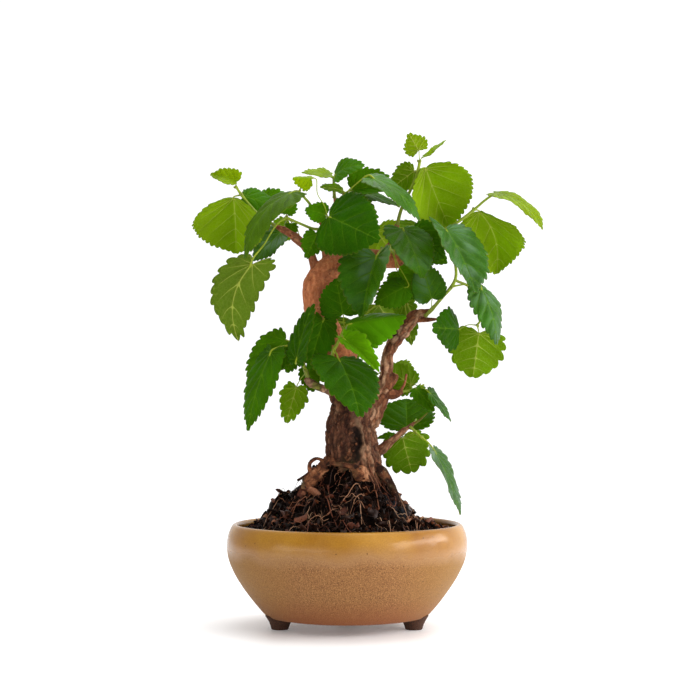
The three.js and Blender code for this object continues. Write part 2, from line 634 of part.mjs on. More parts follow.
function potSolid() {
  const bowl = solidOf(
    latheSolid([[0, footHeight], ...outerProfile, ...innerProfile, [0, floorHeight]], potSides),
  );
  const parts = [bowl];
  for (const degrees of feet.angles) {
    const height = footHeight + 3;
    const foot = new THREE.CylinderGeometry(feet.topRadius, feet.bottomRadius, height, 10);
    foot.rotateX(Math.PI / 2);
    foot.translate(0, -feet.ring, height / 2);
    foot.rotateZ(THREE.MathUtils.degToRad(degrees));
    parts.push(solidOf(foot));
  }
  const hole = new THREE.CylinderGeometry(drainHoleRadius, drainHoleRadius, 4 * wallThickness, 16);
  hole.rotateX(Math.PI / 2);
  hole.translate(0, 0, floorHeight - wallThickness / 2);
  return joined(parts).subtract(solidOf(hole));
}

// The plastic mesh that keeps the soil in over the drain hole: crossed bars inside a square of 26 mm.
const drainMesh = { side: 26, thickness: 0.9, bar: 1.6, bars: 4 };

function drainMeshSolid() {
  const { side, thickness, bar, bars } = drainMesh;
  const pieces = [];
  for (let i = 0; i < bars; i++) {
    const place = (i / (bars - 1) - 0.5) * (side - bar);
    for (const size of [[side, bar], [bar, side]]) {
      const strip = new THREE.BoxGeometry(...size, thickness);
      const shift = size[0] === side ? [0, place] : [place, 0];
      strip.translate(...shift, floorHeight + fitGap + thickness / 2);
      pieces.push(solidOf(strip));
    }
  }
  return joined(pieces);
}

// The soil: it fills the pot and rises in a mound round the trunk. Heights of the mound by radius.
const moundCentre = -3;
const moundProfile = [
  [18, 99],
  [24, 94],
  [30, 86.5],
  [36, 81],
  [42, 76.5],
  [46, 71],
  [50, 66.5],
  [56, 64.5],
  [62, 62],
];
const soilEdge = 67.1 - fitGap;
const soilEdgeHeight = 61;

// Height of the soil's surface at (x, y), with its lumps.
function soilHeight(x, y) {
  const radius = Math.hypot(x - moundCentre * Math.max(0, 1 - Math.hypot(x, y) / soilEdge), y);
  let height = moundProfile[0][1];
  for (let i = 1; i < moundProfile.length; i++) {
    const [r0, z0] = moundProfile[i - 1];
    const [r1, z1] = moundProfile[i];
    if (radius > r0) height = THREE.MathUtils.lerp(z0, z1, Math.min(1, (radius - r0) / (r1 - r0)));
  }
  const lumps =
    Math.sin(0.31 * x + 1.3) * Math.cos(0.27 * y + 0.4) +
    0.7 * Math.sin(0.53 * x - 0.41 * y) +
    0.5 * Math.cos(0.62 * y + 0.35 * x + 2);
  const slope = THREE.MathUtils.smoothstep(soilEdge - Math.hypot(x, y), 1, 14);
  // A clump stands on the left, and the right side falls away faster.
  const clump = 9 * Math.exp(-(((x + 43) / 6) ** 2) - ((y + 3) / 9) ** 2);
  const fall = 4 * Math.exp(-(((x - 44) / 8) ** 2) - (y / 26) ** 2);
  return height + clump - fall + lumps * (0.35 + 1.1 * slope);
}

function soilSolid(hollow) {
  const overMesh = floorHeight + drainMesh.thickness + 2 * fitGap;
  const profile = [
    [0, overMesh],
    [20, overMesh],
    [22, floorHeight + fitGap],
    ...[...innerProfile].reverse().slice(0, -1).map(([r, z]) => [r - fitGap * 1.6, z + fitGap]),
  ];
  const fixed = profile.length;
  const ringRadii = [soilEdge, 60, 50, 43, 36, 29, 22, 0];
  for (const radius of ringRadii) profile.push([radius, soilEdgeHeight]);
  const sectors = 28;
  const body = latheSolid(profile, sectors);
  const place = body.getAttribute("position");
  const perSector = profile.length;
  for (let i = 0; i < place.count; i++) {
    const row = i % perSector;
    if (row < fixed) continue;
    const x = place.getX(i);
    const y = place.getY(i);
    place.setZ(i, row === fixed ? soilEdgeHeight : soilHeight(x, y));
  }
  const solids = [solidOf(body)];
  const random = randomFrom(11);

  // Chips of bark lie on the mound, each sunk by about half.
  const chipCount = 14;
  for (let i = 0; i < chipCount; i++) {
    const angle = 2 * Math.PI * random();
    const radius = 22 + 42 * Math.sqrt(random());
    const size = [2.5 + 5 * random(), 2 + 2.5 * random(), 1.6 + 1.4 * random()];
    const chip = new THREE.BoxGeometry(...size);
    chip.rotateX(random() - 0.5);
    chip.rotateY(2.4 * random() - 1.2);
    chip.rotateZ(2 * Math.PI * random());
    const x = Math.min(radius, 61) * Math.cos(angle);
    const y = Math.min(radius, 61) * Math.sin(angle);
    chip.translate(x, y, soilHeight(x, y));
    solids.push(solidOf(chip));
  }

  // Rootlets run down the mound, half in the soil.
  const rootletCount = 5;
  for (let i = 0; i < rootletCount; i++) {
    const turn = 0.5 * (random() - 0.5);
    const start = (2 * Math.PI * (i + 0.6 * random())) / rootletCount;
    const reach = 40 + 16 * random();
    const points = [0, 1, 2, 3].map((step) => {
      const radius = 22 + ((reach - 22) * step) / 3;
      const angle = start + turn * step + 0.1 * (random() - 0.5);
      const x = radius * Math.cos(angle);
      const y = radius * Math.sin(angle);
      return new THREE.Vector3(x, y, soilHeight(x, y) + 0.4 - (step === 3 ? 1.4 : 0));
    });
    solids.push(solidOf(limb(points, [1, 0.9, 0.8, 0.6], 3, 4)));
  }
  const whole = joined(solids).subtract(hollow);
  return whole.decompose().reduce((a, b) => (a.volume() > b.volume() ? a : b));
}

const materials = {
  glaze: new THREE.MeshStandardMaterial({ color: 0xb08040, roughness: 0.35, metalness: 0 }),
  soil: new THREE.MeshStandardMaterial({ color: 0x2e1c14, roughness: 0.95, metalness: 0 }),
  bark: new THREE.MeshStandardMaterial({ color: 0x6b4a3a, roughness: 0.85, metalness: 0 }),
  leaf: new THREE.MeshStandardMaterial({ color: 0x3f7a12, roughness: 0.5, metalness: 0, side: THREE.DoubleSide }),
  mesh: new THREE.MeshStandardMaterial({ color: 0x1c1f1c, roughness: 0.6, metalness: 0 }),
};

const bonsai = new THREE.Group();

function add(name, solid, material) {
  const mesh = new THREE.Mesh(geometryOf(solid), material);
  mesh.name = name;
  bonsai.add(mesh);
}

add("pot", potSolid(), materials.glaze);
add("drain_mesh", drainMeshSolid(), materials.mesh);
add("soil", soilSolid(woodSolid(fitGap)), materials.soil);
add("trunk", woodSolid(), materials.bark);
for (const [name, shoot] of Object.entries(shoots)) add(`shoot_${name}`, shootSolid(shoot), materials.leaf);

// The group is moved so that the middle of its footprint box is the origin.
const box = new THREE.Box3().setFromObject(bonsai);
bonsai.position.set(-(box.min.x + box.max.x) / 2, -(box.min.y + box.max.y) / 2, -box.min.z);

export default bonsai;
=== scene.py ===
# A mulberry bonsai in a round stoneware bowl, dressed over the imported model. Sizes are in millimetres and
# meshes are written in metres. Photo places are [across, depth, height] on the plane through the pot's axis.
import functools
import math

import bpy
import numpy as np
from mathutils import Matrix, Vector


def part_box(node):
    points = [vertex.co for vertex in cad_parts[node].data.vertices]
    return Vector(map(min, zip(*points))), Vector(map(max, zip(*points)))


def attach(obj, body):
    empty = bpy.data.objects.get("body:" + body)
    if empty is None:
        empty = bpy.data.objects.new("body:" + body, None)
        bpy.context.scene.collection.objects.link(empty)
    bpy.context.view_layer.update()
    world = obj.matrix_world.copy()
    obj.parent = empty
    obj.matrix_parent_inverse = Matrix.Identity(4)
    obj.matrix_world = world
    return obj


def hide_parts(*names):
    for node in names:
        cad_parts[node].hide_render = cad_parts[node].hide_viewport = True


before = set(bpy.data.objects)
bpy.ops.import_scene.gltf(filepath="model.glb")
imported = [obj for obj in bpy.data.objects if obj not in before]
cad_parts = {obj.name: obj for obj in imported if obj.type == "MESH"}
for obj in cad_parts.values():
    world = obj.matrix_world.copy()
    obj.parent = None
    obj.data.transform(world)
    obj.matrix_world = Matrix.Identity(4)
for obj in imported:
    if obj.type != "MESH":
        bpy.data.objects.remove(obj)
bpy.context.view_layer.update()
potLow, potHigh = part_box("pot")
potAxis = 500 * (potLow.x + potHigh.x)  # the pot's axis, across, in the frame
print("frame loaded, pot axis at", round(potAxis, 3), "mm")


camera = {
    "across": 1.9,
    "back": 1094.0,
    "height": 152.0,
    "tiltDegrees": 1.05,
    "lens": 90.0,
    "sensor": 36,
}


# A photo place in the frame: moved along its sight line from the plane through the pot's axis to its depth.
def seen(places):
    places = np.asarray(places, float)
    stretch = (camera["back"] + places[..., 1]) / camera["back"]
    across = potAxis + camera["across"] + (places[..., 0] - camera["across"]) * stretch
    height = camera["height"] + (places[..., 2] - camera["height"]) * stretch
    return np.stack([across, places[..., 1], height], -1)


def unit(vectors):
    return vectors / np.maximum(np.linalg.norm(vectors, axis=-1, keepdims=True), 1e-9)


def ease(value, start, end):
    share = np.clip((value - start) / (end - start), 0, 1)
    return share * share * (3 - 2 * share)


# A bell curve: 1 at the middle and 0.37 at one width from it.
def bell(value, width):
    return np.exp(-((value / width) ** 2))


# Angles of a ring's corners.
def ringAngles(sides):
    return 2 * np.pi * np.arange(sides) / sides


# Points evenly spaced along a Catmull-Rom curve through the given ones, with each one's place in the list.
# The curve runs straight out at its ends, or stops there where the end points are doubled.
def curveThrough(points, count, doubled=False):
    points = np.asarray(points, float)
    first = points[0] if doubled else 2 * points[0] - points[1]
    last = points[-1] if doubled else 2 * points[-1] - points[-2]
    padded = np.vstack([first, points, last])
    place = np.linspace(0, len(points) - 1, 40 * (len(points) - 1) + 1)
    before = np.minimum(place.astype(int), len(points) - 2)
    f = (place - before)[:, None]
    a, b, c, d = (padded[before + k] for k in range(4))
    fine = 0.5 * (2 * b + (c - a) * f + (2 * a - 5 * b + 4 * c - d) * f**2 + (3 * b - a - 3 * c + d) * f**3)
    reach = np.concatenate([[0], np.cumsum(np.linalg.norm(np.diff(fine, axis=0), axis=1))])
    even = np.linspace(0, reach[-1], count + 1)
    along = np.stack([np.interp(even, reach, column) for column in fine.T], 1)
    return along, np.interp(even, reach, place)


# Random numbers from -1 to 1 for whole-numbered cells, by mixing the bits of their coordinates.
def cellRandom(cells, seed):
    mixed = (cells[..., 0] * 73856093) ^ (cells[..., 1] * 19349663) ^ (cells[..., 2] * 83492791)
    mixed = (mixed ^ (seed * 7919 + 17)) & 0xFFFFFFFF
    for shift, factor in ((13, 1274126177), (15, 1103515245)):
        mixed = ((mixed ^ (mixed >> shift)) * factor) & 0xFFFFFFFF
    return ((mixed >> 8) & 0xFFFF) / 32767.5 - 1


# Smooth noise: the random numbers of a point's eight cell corners, mixed by its eased place between them.
def noise(points, size, seed=0):
    scaled = np.asarray(points, float) / size
    low = np.floor(scaled).astype(np.int64)
    part = scaled - low
    part = part * part * (3 - 2 * part)
    total = 0
    for corner in np.ndindex(2, 2, 2):
        share = np.prod(np.where(corner, part, 1 - part), axis=-1)
        total = total + share * cellRandom(low + np.array(corner), seed)
    return total


# Rough noise: the sum of smooth noises, each half the size and half the strength of the one before.
def roughNoise(points, size, layers=4, seed=0):
    return sum(noise(points, size / 2**k, seed + 31 * k) / 2**k for k in range(layers))


# How far a point is from the crack between the scattered points nearest to it, in cell sizes, and the
# random number of its own cell.
def plates(points, size, seed=0):
    scaled = np.asarray(points, float) / size
    home = np.floor(scaled).astype(np.int64)
    nearest = np.full(len(scaled), 9.0)
    second = np.full(len(scaled), 9.0)
    mark = np.zeros(len(scaled))
    for step in np.ndindex(3, 3, 3):
        cell = home + np.array(step) - 1
        jitter = np.stack([cellRandom(cell, seed + k) for k in (1, 2, 3)], -1) * 0.45 + 0.5
        distance = np.linalg.norm(cell + jitter - scaled, axis=1)
        closer = distance < nearest
        second = np.where(closer, nearest, np.minimum(second, distance))
        mark = np.where(closer, cellRandom(cell, seed + 9), mark)
        nearest = np.where(closer, distance, nearest)
    return second - nearest, mark


# Triangles over a grid of points numbered row by row. A wrapped grid closes its last column on its first.
def gridFaces(rows, columns, wrap=False):
    r = np.arange(rows - 1)[:, None] * columns
    c = np.arange(columns if wrap else columns - 1)[None, :]
    a, b = r + c, r + (c + 1) % columns
    quads = np.stack([a, b, b + columns, a + columns], -1).reshape(-1, 4)
    return np.concatenate([quads[:, [0, 1, 2]], quads[:, [0, 2, 3]]])


# Triangles between two rows of point numbers.
def stripFaces(near, far):
    return np.concatenate([
        np.stack([near[:-1], far[:-1], near[1:]], 1),
        np.stack([near[1:], far[:-1], far[1:]], 1),
    ])


# The directions along a path and across it. The first one across is a fixed axis made square to the path.
def pathFrames(path):
    heading = unit(np.gradient(path, axis=0))
    axis = np.eye(3)[np.argmin(np.abs(heading).max(0))]
    normal = unit(axis - (heading @ axis)[:, None] * heading)
    return heading, normal, np.cross(heading, normal)


# Closed tubes along paths of equally many points: a ring's point is the path's point plus radius times
# (cosine of the angle times the first normal plus sine times the second). One more point closes each end, a
# share of the radius further on.
def tubes(paths, radii, sides, frames, endShare):
    count, steps = paths.shape[:2]
    heading, normal, second = frames
    angle = ringAngles(sides)[:, None]
    spokes = np.cos(angle) * normal[:, :, None] + np.sin(angle) * second[:, :, None]
    rings = paths[:, :, None] + spokes * radii[:, :, None, None]
    start = paths[:, 0] - heading[:, 0] * radii[:, :1] * endShare
    end = paths[:, -1] + heading[:, -1] * radii[:, -1:] * endShare
    points = np.concatenate([rings.reshape(count, -1, 3), np.stack([start, end], 1)], 1)
    j = np.arange(sides)
    k = (j + 1) % sides
    last, closing = (steps - 1) * sides, 0 * j + steps * sides
    ends = [np.stack([closing, k, j], 1), np.stack([closing + 1, last + j, last + k], 1)]
    faces = np.concatenate([gridFaces(steps, sides, True), *ends])
    faces = faces[None] + np.arange(count)[:, None, None] * points.shape[1]
    return {"points": points.reshape(-1, 3), "faces": faces.reshape(-1, 3)}


# One tube, with the share of its length at each point.
def tube(path, radii, sides):
    radii = np.broadcast_to(np.asarray(radii, float), (1, len(path)))
    part = tubes(path[None], radii, sides, [direction[None] for direction in pathFrames(path)], 0.35)
    return {**part, "along": np.append(np.repeat(np.linspace(0, 1, len(path)), sides), [0, 1])}


# A part with its doubled points merged, at most half a micrometre apart, and its emptied triangles dropped.
def welded(part):
    keys = np.round(part["points"] * 2000).astype(np.int64)
    _, places, back = np.unique(keys, axis=0, return_index=True, return_inverse=True)
    faces = back.reshape(-1)[part["faces"]]
    whole = (faces != np.roll(faces, 1, axis=1)).all(1)
    fresh = {key: value[places] for key, value in part.items() if key not in ("faces", "finish")}
    fresh["faces"] = faces[whole]
    if "finish" in part:
        fresh["finish"] = part["finish"][whole]
    return fresh


# The points of parts in metres, and their faces.
def joined(parts):
    counts = np.cumsum([0] + [len(part["points"]) for part in parts])
    faces = [part["faces"] + count for part, count in zip(parts, counts)]
    return np.concatenate([part["points"] for part in parts]) * 0.001, np.concatenate(faces).astype(np.int32)


def newObject(name, data):
    made = bpy.data.objects.new(name, data)
    bpy.context.scene.collection.objects.link(made)
    return made


# Parts joined into one piece that rides on the root body. A part holds points, faces, optionally a finish
# number for each face, a flat place for each point, and any other values of its points by name.
def makePiece(name, parts, materials, standsFor=()):
    points, faces = joined(parts)
    finish = [part.get("finish", np.zeros(len(part["faces"]), int)) for part in parts]
    mesh = bpy.data.meshes.new(name)
    mesh.vertices.add(len(points))
    mesh.vertices.foreach_set("co", points.astype(np.float32).ravel())
    mesh.loops.add(faces.size)
    mesh.loops.foreach_set("vertex_index", faces.ravel())
    mesh.polygons.add(len(faces))
    mesh.polygons.foreach_set("loop_start", np.arange(0, faces.size, 3, dtype=np.int32))
    mesh.polygons.foreach_set("material_index", np.concatenate(finish).astype(np.int32))
    mesh.polygons.foreach_set("use_smooth", np.full(len(faces), True))
    for key in sorted({key for part in parts for key in part} - {"points", "faces", "finish"}):
        shape = next(part[key].shape[1:] for part in parts if key in part)
        values = [part.get(key, np.zeros((len(part["points"]), *shape))) for part in parts]
        values = np.concatenate(values).astype(np.float32)
        if key == "flat":
            mesh.uv_layers.new(name="flat").data.foreach_set("uv", values[faces.ravel()].ravel())
        elif shape:
            values = np.column_stack([values, np.ones(len(values), np.float32)])
            mesh.attributes.new(key, "FLOAT_COLOR", "POINT").data.foreach_set("color", values.ravel())
        else:
            mesh.attributes.new(key, "FLOAT", "POINT").data.foreach_set("value", values)
    mesh.update(calc_edges=True)
    mesh.validate()
    for material in materials:
        mesh.materials.append(material)
    piece = newObject(name, mesh)
    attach(piece, "root")
    if standsFor:
        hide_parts(*standsFor)
    return piece


# An sRGB hex colour as linear numbers.
def linear(hexColour):
    values = np.array([int(hexColour[k : k + 2], 16) for k in (1, 3, 5)]) / 255
    return np.where(values <= 0.04045, values / 12.92, ((values + 0.055) / 1.055) ** 2.4)


# Adds a node and gives one of its outputs. Plain values and capitalised names set or link its inputs, other
# names are its properties, a hex text is a colour, and "stops" are the places and colours of a colour ramp.
def addNode(tree, kind, *values, output=0, stops=(), **named):
    node = tree.nodes.new("ShaderNode" + kind)
    inputs = dict(enumerate(values))
    for key, value in named.items():
        if key[0].isupper():
            inputs[key.replace("_", " ")] = value
        else:
            setattr(node, key, value)
    for number, (place, tone) in enumerate(stops):
        if number > 1:
            node.color_ramp.elements.new(1)
        element = node.color_ramp.elements[number]
        element.position, element.color = place, (*linear(tone), 1)
    for key, value in inputs.items():
        if isinstance(value, bpy.types.NodeSocket):
            tree.links.new(value, node.inputs[key])
        else:
            node.inputs[key].default_value = (*linear(value), 1) if isinstance(value, str) else value
    return node.outputs[output] if node.outputs else None


# A material with an empty tree, the function that adds its nodes, and its objects' own coordinates in metres.
def newMaterial(name):
    material = bpy.data.materials.new(name)
    material.use_nodes = True
    material.node_tree.nodes.clear()
    add = functools.partial(addNode, material.node_tree)
    return material, add, add("TexCoord", output="Object")


# The last steps of a material: relief from a height pattern, and a body of the given colour and shine.
def addBody(add, colour, height, strength, distance, **shine):
    bump = add("Bump", Strength=strength, Distance=distance, Height=height)
    add("OutputMaterial", add("BsdfPrincipled", Base_Color=colour, Normal=bump, **shine))


# Half of a leaf's outline as shares of its length, [across, along]: notch, lobe, side and tip. The third
# value is how much further across a leaf with a blunt tip is there.
leafForm = {
    "halfOutline": [
        [0.0, 0.0, 0.0], [0.07, -0.06, 0.0], [0.17, -0.1, 0.0], [0.3, -0.085, 0.0], [0.41, -0.01, 0.0],
        [0.475, 0.11, 0.0], [0.495, 0.25, 0.0], [0.48, 0.4, 0.015], [0.43, 0.55, 0.05], [0.35, 0.69, 0.09],
        [0.245, 0.81, 0.125], [0.125, 0.915, 0.125], [0.0, 1.0, 0.0],
    ],
    "outlineSteps": 600,
    "outlineWidth": 0.99,
    "thickness": 0.34,
    "toothPitch": 3.7,
    "toothDepth": 0.4,  # as a share of the pitch
    "rowsPerTooth": 6,
    "columns": 11,
    "veinEnds": [-0.04, 0.16, 0.44, 0.64, 0.79, 0.9],  # where side veins meet the edge, along
    "lowestVein": 0.13,  # and one more in the lobe, as a share of the outline
    "creaseSquared": 0.8,  # how rounded the fold along the midrib is
    "petioleRadius": 0.62,
    "footRun": 1.6,  # how far a stem's foot runs on into what it grows from
    "footFlare": 1.25,
    "paintedSheenColour": "#9cb8a6",  # the colour of the painted sheen, a bluish grey reflection
}

# Upper and lower face colours of the leaves, from full shade to the youngest, then two duller ones.
leafTones = {
    "deep": ["#235205", "#527a10"],
    "mid": ["#356507", "#5c860c"],
    "fresh": ["#478006", "#6b9108"],
    "bright": ["#588e06", "#80a005"],
    "lime": ["#7b9006", "#7f980a"],
    "young": ["#8ba607", "#8ba90c"],
    "olive": ["#456412", "#5c761f"],
    "blue": ["#2d5c17", "#527723"],
}


# Where a leaf's flat point goes. Its side is folded up along the midrib with a rounded crease, the midrib
# follows a circle's arc through the bend, and a slow wave lifts the edges.
def leafShape(leaf):
    start, tip = seen([leaf["junction"], leaf["tip"]])
    chord = tip - start
    halfBend = math.radians(leaf["bend"] / 2) or 1e-6
    length = np.linalg.norm(chord) * halfBend / math.sin(halfBend)
    along = unit(chord)
    eye = np.array([potAxis + camera["across"], -camera["back"], camera["height"]])
    up = unit((eye - start) - along * np.dot(eye - start, along))
    turn = math.radians(leaf["turn"])
    up = up * math.cos(turn) + np.cross(along, up) * math.sin(turn)
    axes = np.stack([np.cross(along, up), along, up])
    fold = math.radians(leaf["fold"])
    wide = leaf["width"] / leafForm["outlineWidth"]
    bow = length / (2 * halfBend)
    crease = leafForm["creaseSquared"]

    def place(x, y, lift):
        side = x * wide
        heading = halfBend - 2 * halfBend * y
        ripple = leaf["wave"] * np.cos(9 * y + 2 * np.sign(x) + leaf["width"]) * (2 * x) ** 2
        raised = (np.sqrt(side**2 + crease) - crease**0.5) * math.sin(fold) + ripple
        slope = side / np.sqrt(side**2 + crease) * math.sin(fold)
        flat = np.stack([
            side * math.cos(fold) + leaf["sway"] * 4 * y * (1 - y) - slope * lift,
            bow * (math.sin(halfBend) - np.sin(heading)) - (raised + lift * math.cos(fold)) * np.sin(heading),
            bow * (np.cos(heading) - math.cos(halfBend)) + (raised + lift * math.cos(fold)) * np.cos(heading),
        ], -1)
        return start + flat @ axes

    return {"place": place, "length": length, "wide": wide, "along": along, "start": start}


# A leaf's blade: for each half a grid from the midrib (w = 0) to the toothed edge (w = 1), whose rows
# follow the side veins. Low rows fan out of the petiole's end and the others leave the midrib slantwise.
# An upper and a lower sheet lie half a thickness from the middle and are closed by a rim.
def bladePart(leaf, shape, seed):
    length, wide = shape["length"], shape["wide"]
    size = np.clip(length / 45, 0.45, 1.25)
    outline = np.array(leafForm["halfOutline"])
    steps = leafForm["outlineSteps"]
    fine = np.linspace(0, 1, steps + 1)
    halfEdge, _ = curveThrough(outline[:, :2] + leaf["blunt"] * outline[:, [2]] * [1, 0], steps, doubled=True)
    halfEdgeOut = unit(np.gradient(halfEdge, axis=0))[:, [1, 0]] * [1, -1]
    random = np.random.default_rng(seed)
    usualPitch = leafForm["toothPitch"] * size**0.5 * random.uniform(0.85, 1.15)
    pitch = leaf["teeth"] or usualPitch
    halfRound = 1.42 * (length + wide) / 2  # about the length of the outline's half
    teeth = int(np.clip(round(halfRound / pitch), 6, 20))
    q = np.linspace(0, 1, teeth * leafForm["rowsPerTooth"] + 1)
    low = np.argmin(halfEdge[:, 1])
    veinEnds = np.interp(leafForm["veinEnds"], halfEdge[low:, 1], fine[low:])
    veinEnds = np.append(veinEnds, leafForm["lowestVein"])
    for end in veinEnds:
        q[np.argmin(np.abs(q - end))] = end
    w = (np.arange(leafForm["columns"] + 1) / leafForm["columns"]) ** 1.15

    # Flat points between the midrib and the edge, on rows that bow towards the petiole.
    def middle(qs):
        edge = np.stack([np.interp(qs, fine, halfEdge[:, k]) for k in (0, 1)], -1)
        rib = np.clip((edge[:, 1] - 0.46) / 0.54, 0, 1) ** 1.12
        rib = np.stack([0 * rib, rib], -1)
        flat = rib[:, None] + (edge - rib)[:, None] * w[None, :, None]
        bow = 0.1 * rib[:, 1] * (1.15 - rib[:, 1])
        flat[..., 1] -= np.sin(np.pi * w**0.8)[None] * bow[:, None]
        return flat * [wide, length]

    # A tooth rises steeply on its lower side and leans towards the leaf's tip.
    phase = q * teeth
    tooth = np.sin(np.pi * np.clip(phase - np.floor(phase), 0, 1) ** 1.25) ** 0.6
    uneven = 1 + 0.5 * random.uniform(-1, 1, teeth + 1)[np.minimum(np.floor(phase).astype(int), teeth)]
    begins = ease(q, 0.07, 0.16)
    depth = leafForm["toothDepth"] * pitch * tooth * uneven * begins * (1 - 0.7 * ease(q, 0.97, 1))
    out = np.stack([np.interp(q, fine, halfEdgeOut[:, k]) for k in (0, 1)], -1)
    ahead = out[:, ::-1] * [-1, 1]
    push = (out + 0.4 * ahead) * depth[:, None] - out * 0.6 * leafForm["toothDepth"] * pitch * begins[:, None]
    flat = middle(q) + push[:, None] * (w**5)[None, :, None]

    # How far each point is from the side veins and the midrib, in half widths of the vein.
    veins = middle(veinEnds)
    run = unit(np.gradient(veins, axis=1))
    gap = flat[:, None] - veins[None]
    beside = np.abs(gap[..., 0] * run[None, ..., 1] - gap[..., 1] * run[None, ..., 0])
    fromVein = (beside + 0.15 * np.abs((gap * run[None]).sum(-1))).min(1)
    fromRib = np.abs(flat[..., 0])
    y = flat[..., 1] / length
    ribHalf = (0.44 - 0.3 * np.clip(y, 0, 1)) * size**0.6
    sideHalf = (0.22 - 0.13 * w)[None] * size**0.6
    vein = np.minimum(np.minimum(fromVein / sideHalf, fromRib / ribHalf), 12)
    rib = (bell(fromRib, ribHalf) + 0.35 * bell(fromVein, sideHalf)) * (0.15 + 0.35 * size)
    swell = leaf["pucker"] * size * (1 - bell(fromVein, 1.9 * size)) * (1 - bell(fromRib, 2.2))
    swell = swell * (1 - 0.6 * w**4)[None]

    rows, columns = len(q), len(w)
    grid = gridFaces(rows, columns)
    rim = np.arange(rows) * columns + columns - 1
    count = rows * columns
    faces = np.concatenate([grid, grid[:, ::-1] + count, stripFaces(rim, rim + count)])
    finish = np.repeat([3 if leaf["haze"] else 0, 1, 0], [len(grid), len(grid), len(faces) - 2 * len(grid)])
    edge = np.broadcast_to(w, y.shape)
    half = leafForm["thickness"] / 2 * (1 - 0.55 * edge**6)
    parts = []
    for side in (1, -1):
        place = np.stack([flat[..., 0] * side + 60, flat[..., 1], np.full(y.shape, seed * 9.7)], -1)
        lift = swell + 0.22 * noise(place, 4.5, 5) + 0.9 * size * noise(place, 15.0, 6) * w[None]
        x = side * flat[..., 0] / wide
        lifts = [lift + half - 0.25 * rib, lift - half - rib]
        onFlat = np.stack([side * flat[..., 0], flat[..., 1]], -1).reshape(-1, 2)
        parts.append({
            "points": np.concatenate([shape["place"](x.ravel(), y.ravel(), each.ravel()) for each in lifts]),
            "finish": finish,
            "flat": np.concatenate([onFlat] * 2),
            "vein": np.concatenate([vein.ravel()] * 2),
            "edge": np.concatenate([edge.ravel()] * 2),
        })
    whole = {key: np.concatenate([part[key] for part in parts]) for key in parts[0]}
    whole["faces"] = np.concatenate([faces, faces[:, ::-1] + 2 * count])
    whole["flat"] = whole["flat"] + [seed * 37.0, seed * 91.0]
    whole = welded(whole)

    # Each leaf is a little lighter or darker than its tone, with painted shade that makes one side of the
    # midrib darker than the other, as light would fall across the fold. The upper face has a painted sheen, a
    # bluish grey reflection, in patches between the veins.
    tone = leafTones[leaf["tone"]]
    # Painted shade: one side of the midrib is darker than the other, as light falls across the fold.
    onRight = ease(whole["flat"][:, 0] - seed * 37.0, -1.5, 1.5)
    toneAndHalfShade = (1 + 0.1 * random.uniform(-1, 1) + 0.16 * random.uniform(-1, 1) * (onRight - 0.5))[:, None]
    haze = ease(noise(np.column_stack([whole["flat"], 0 * onRight]), 9.0, 31), -0.25, 0.55)
    haze = (leaf["haze"] * haze * ease(whole["vein"], 0.5, 4))[:, None]
    whole["upperTint"] = linear(tone[0]) * toneAndHalfShade * (1 - haze) + linear(leafForm["paintedSheenColour"]) * haze
    whole["underTint"] = linear(tone[1]) * toneAndHalfShade
    return whole


# A tube of green stem skin. Its age starts at the oldest and falls by the given amount times a power of the
# share along it.
def greenTube(path, radius, sides, oldest, fall, power):
    part = tube(path, radius, sides)
    part["finish"] = np.full(len(part["faces"]), 2)
    part["age"] = oldest - fall * part.pop("along") ** power
    return part


# A leaf's stalk: a tube that starts under the blade, passes the bends and swells where it meets the stem.
def petiolePart(leaf, shape, stemPoint):
    reach = np.linalg.norm(stemPoint - shape["start"])
    bends = [(stemPoint + shape["start"]) / 2 + [0, 0, 0.1 * reach]]
    if leaf["via"]:
        bends = seen(leaf["via"])[::-1]
    inside = shape["place"](np.array(0.0), np.array(0.05), np.array(-0.35))
    neck = shape["place"](np.array(0.0), np.array(0.0), np.array(-0.3)) - shape["along"] * 0.12 * reach
    path, _ = curveThrough([inside, neck, *bends, stemPoint], int(np.clip(reach / 1.2, 8, 30)))
    share = np.linspace(0, 1, len(path))
    size = np.clip(shape["length"] / 38, 0.6, 1.1)
    swelling = 0.8 + 0.12 * np.cos(2 * np.pi * share) + 0.55 * ease(share, 0.86, 1)
    return greenTube(path, leafForm["petioleRadius"] * size * swelling, 8, 0, -0.12, 6)


# A shoot's stem: a tube with a swelling and a pointed bud at each leaf's base, and a flared foot.
def stemParts(shoot):
    spots = [leaf["at"] for leaf in shoot["leaves"]]
    path, _ = curveThrough(seen(shoot["stem"]), max(14, int(5 * len(shoot["stem"]))))
    share = np.linspace(0, 1, len(path))
    knots = sum(bell(share - spot, 0.045) for spot in spots)
    radius = shoot["thickness"] * (1 - 0.32 * share) * (1 + 0.22 * np.minimum(knots, 1.2))
    rooted = np.vstack([path[0] - leafForm["footRun"] * unit(path[1] - path[0]), path])
    parts = [greenTube(rooted, np.append(leafForm["footFlare"] * radius[0], radius), 10, 0.5, 0.42, 0.6)]
    heading, normal, second = pathFrames(path)
    budRadius = np.array([0.5, 0.75, 0.8, 0.62, 0.35, 0.08]) * min(1, shoot["thickness"])
    for number, spot in enumerate(spots):
        k = int(np.clip(spot * (len(path) - 1), 1, len(path) - 2))
        lean = unit(normal[k] * math.cos(2.4 * number + 1) + second[k] * math.sin(2.4 * number + 1))
        outward = np.outer(np.linspace(0.2, 2.3, 6), unit(heading[k] + 0.9 * lean))
        budPath = path[k] + outward + lean * radius[k] * 0.5
        parts.append(greenTube(budPath, budRadius, 7, 0.7, 0.4, 1))
    return parts
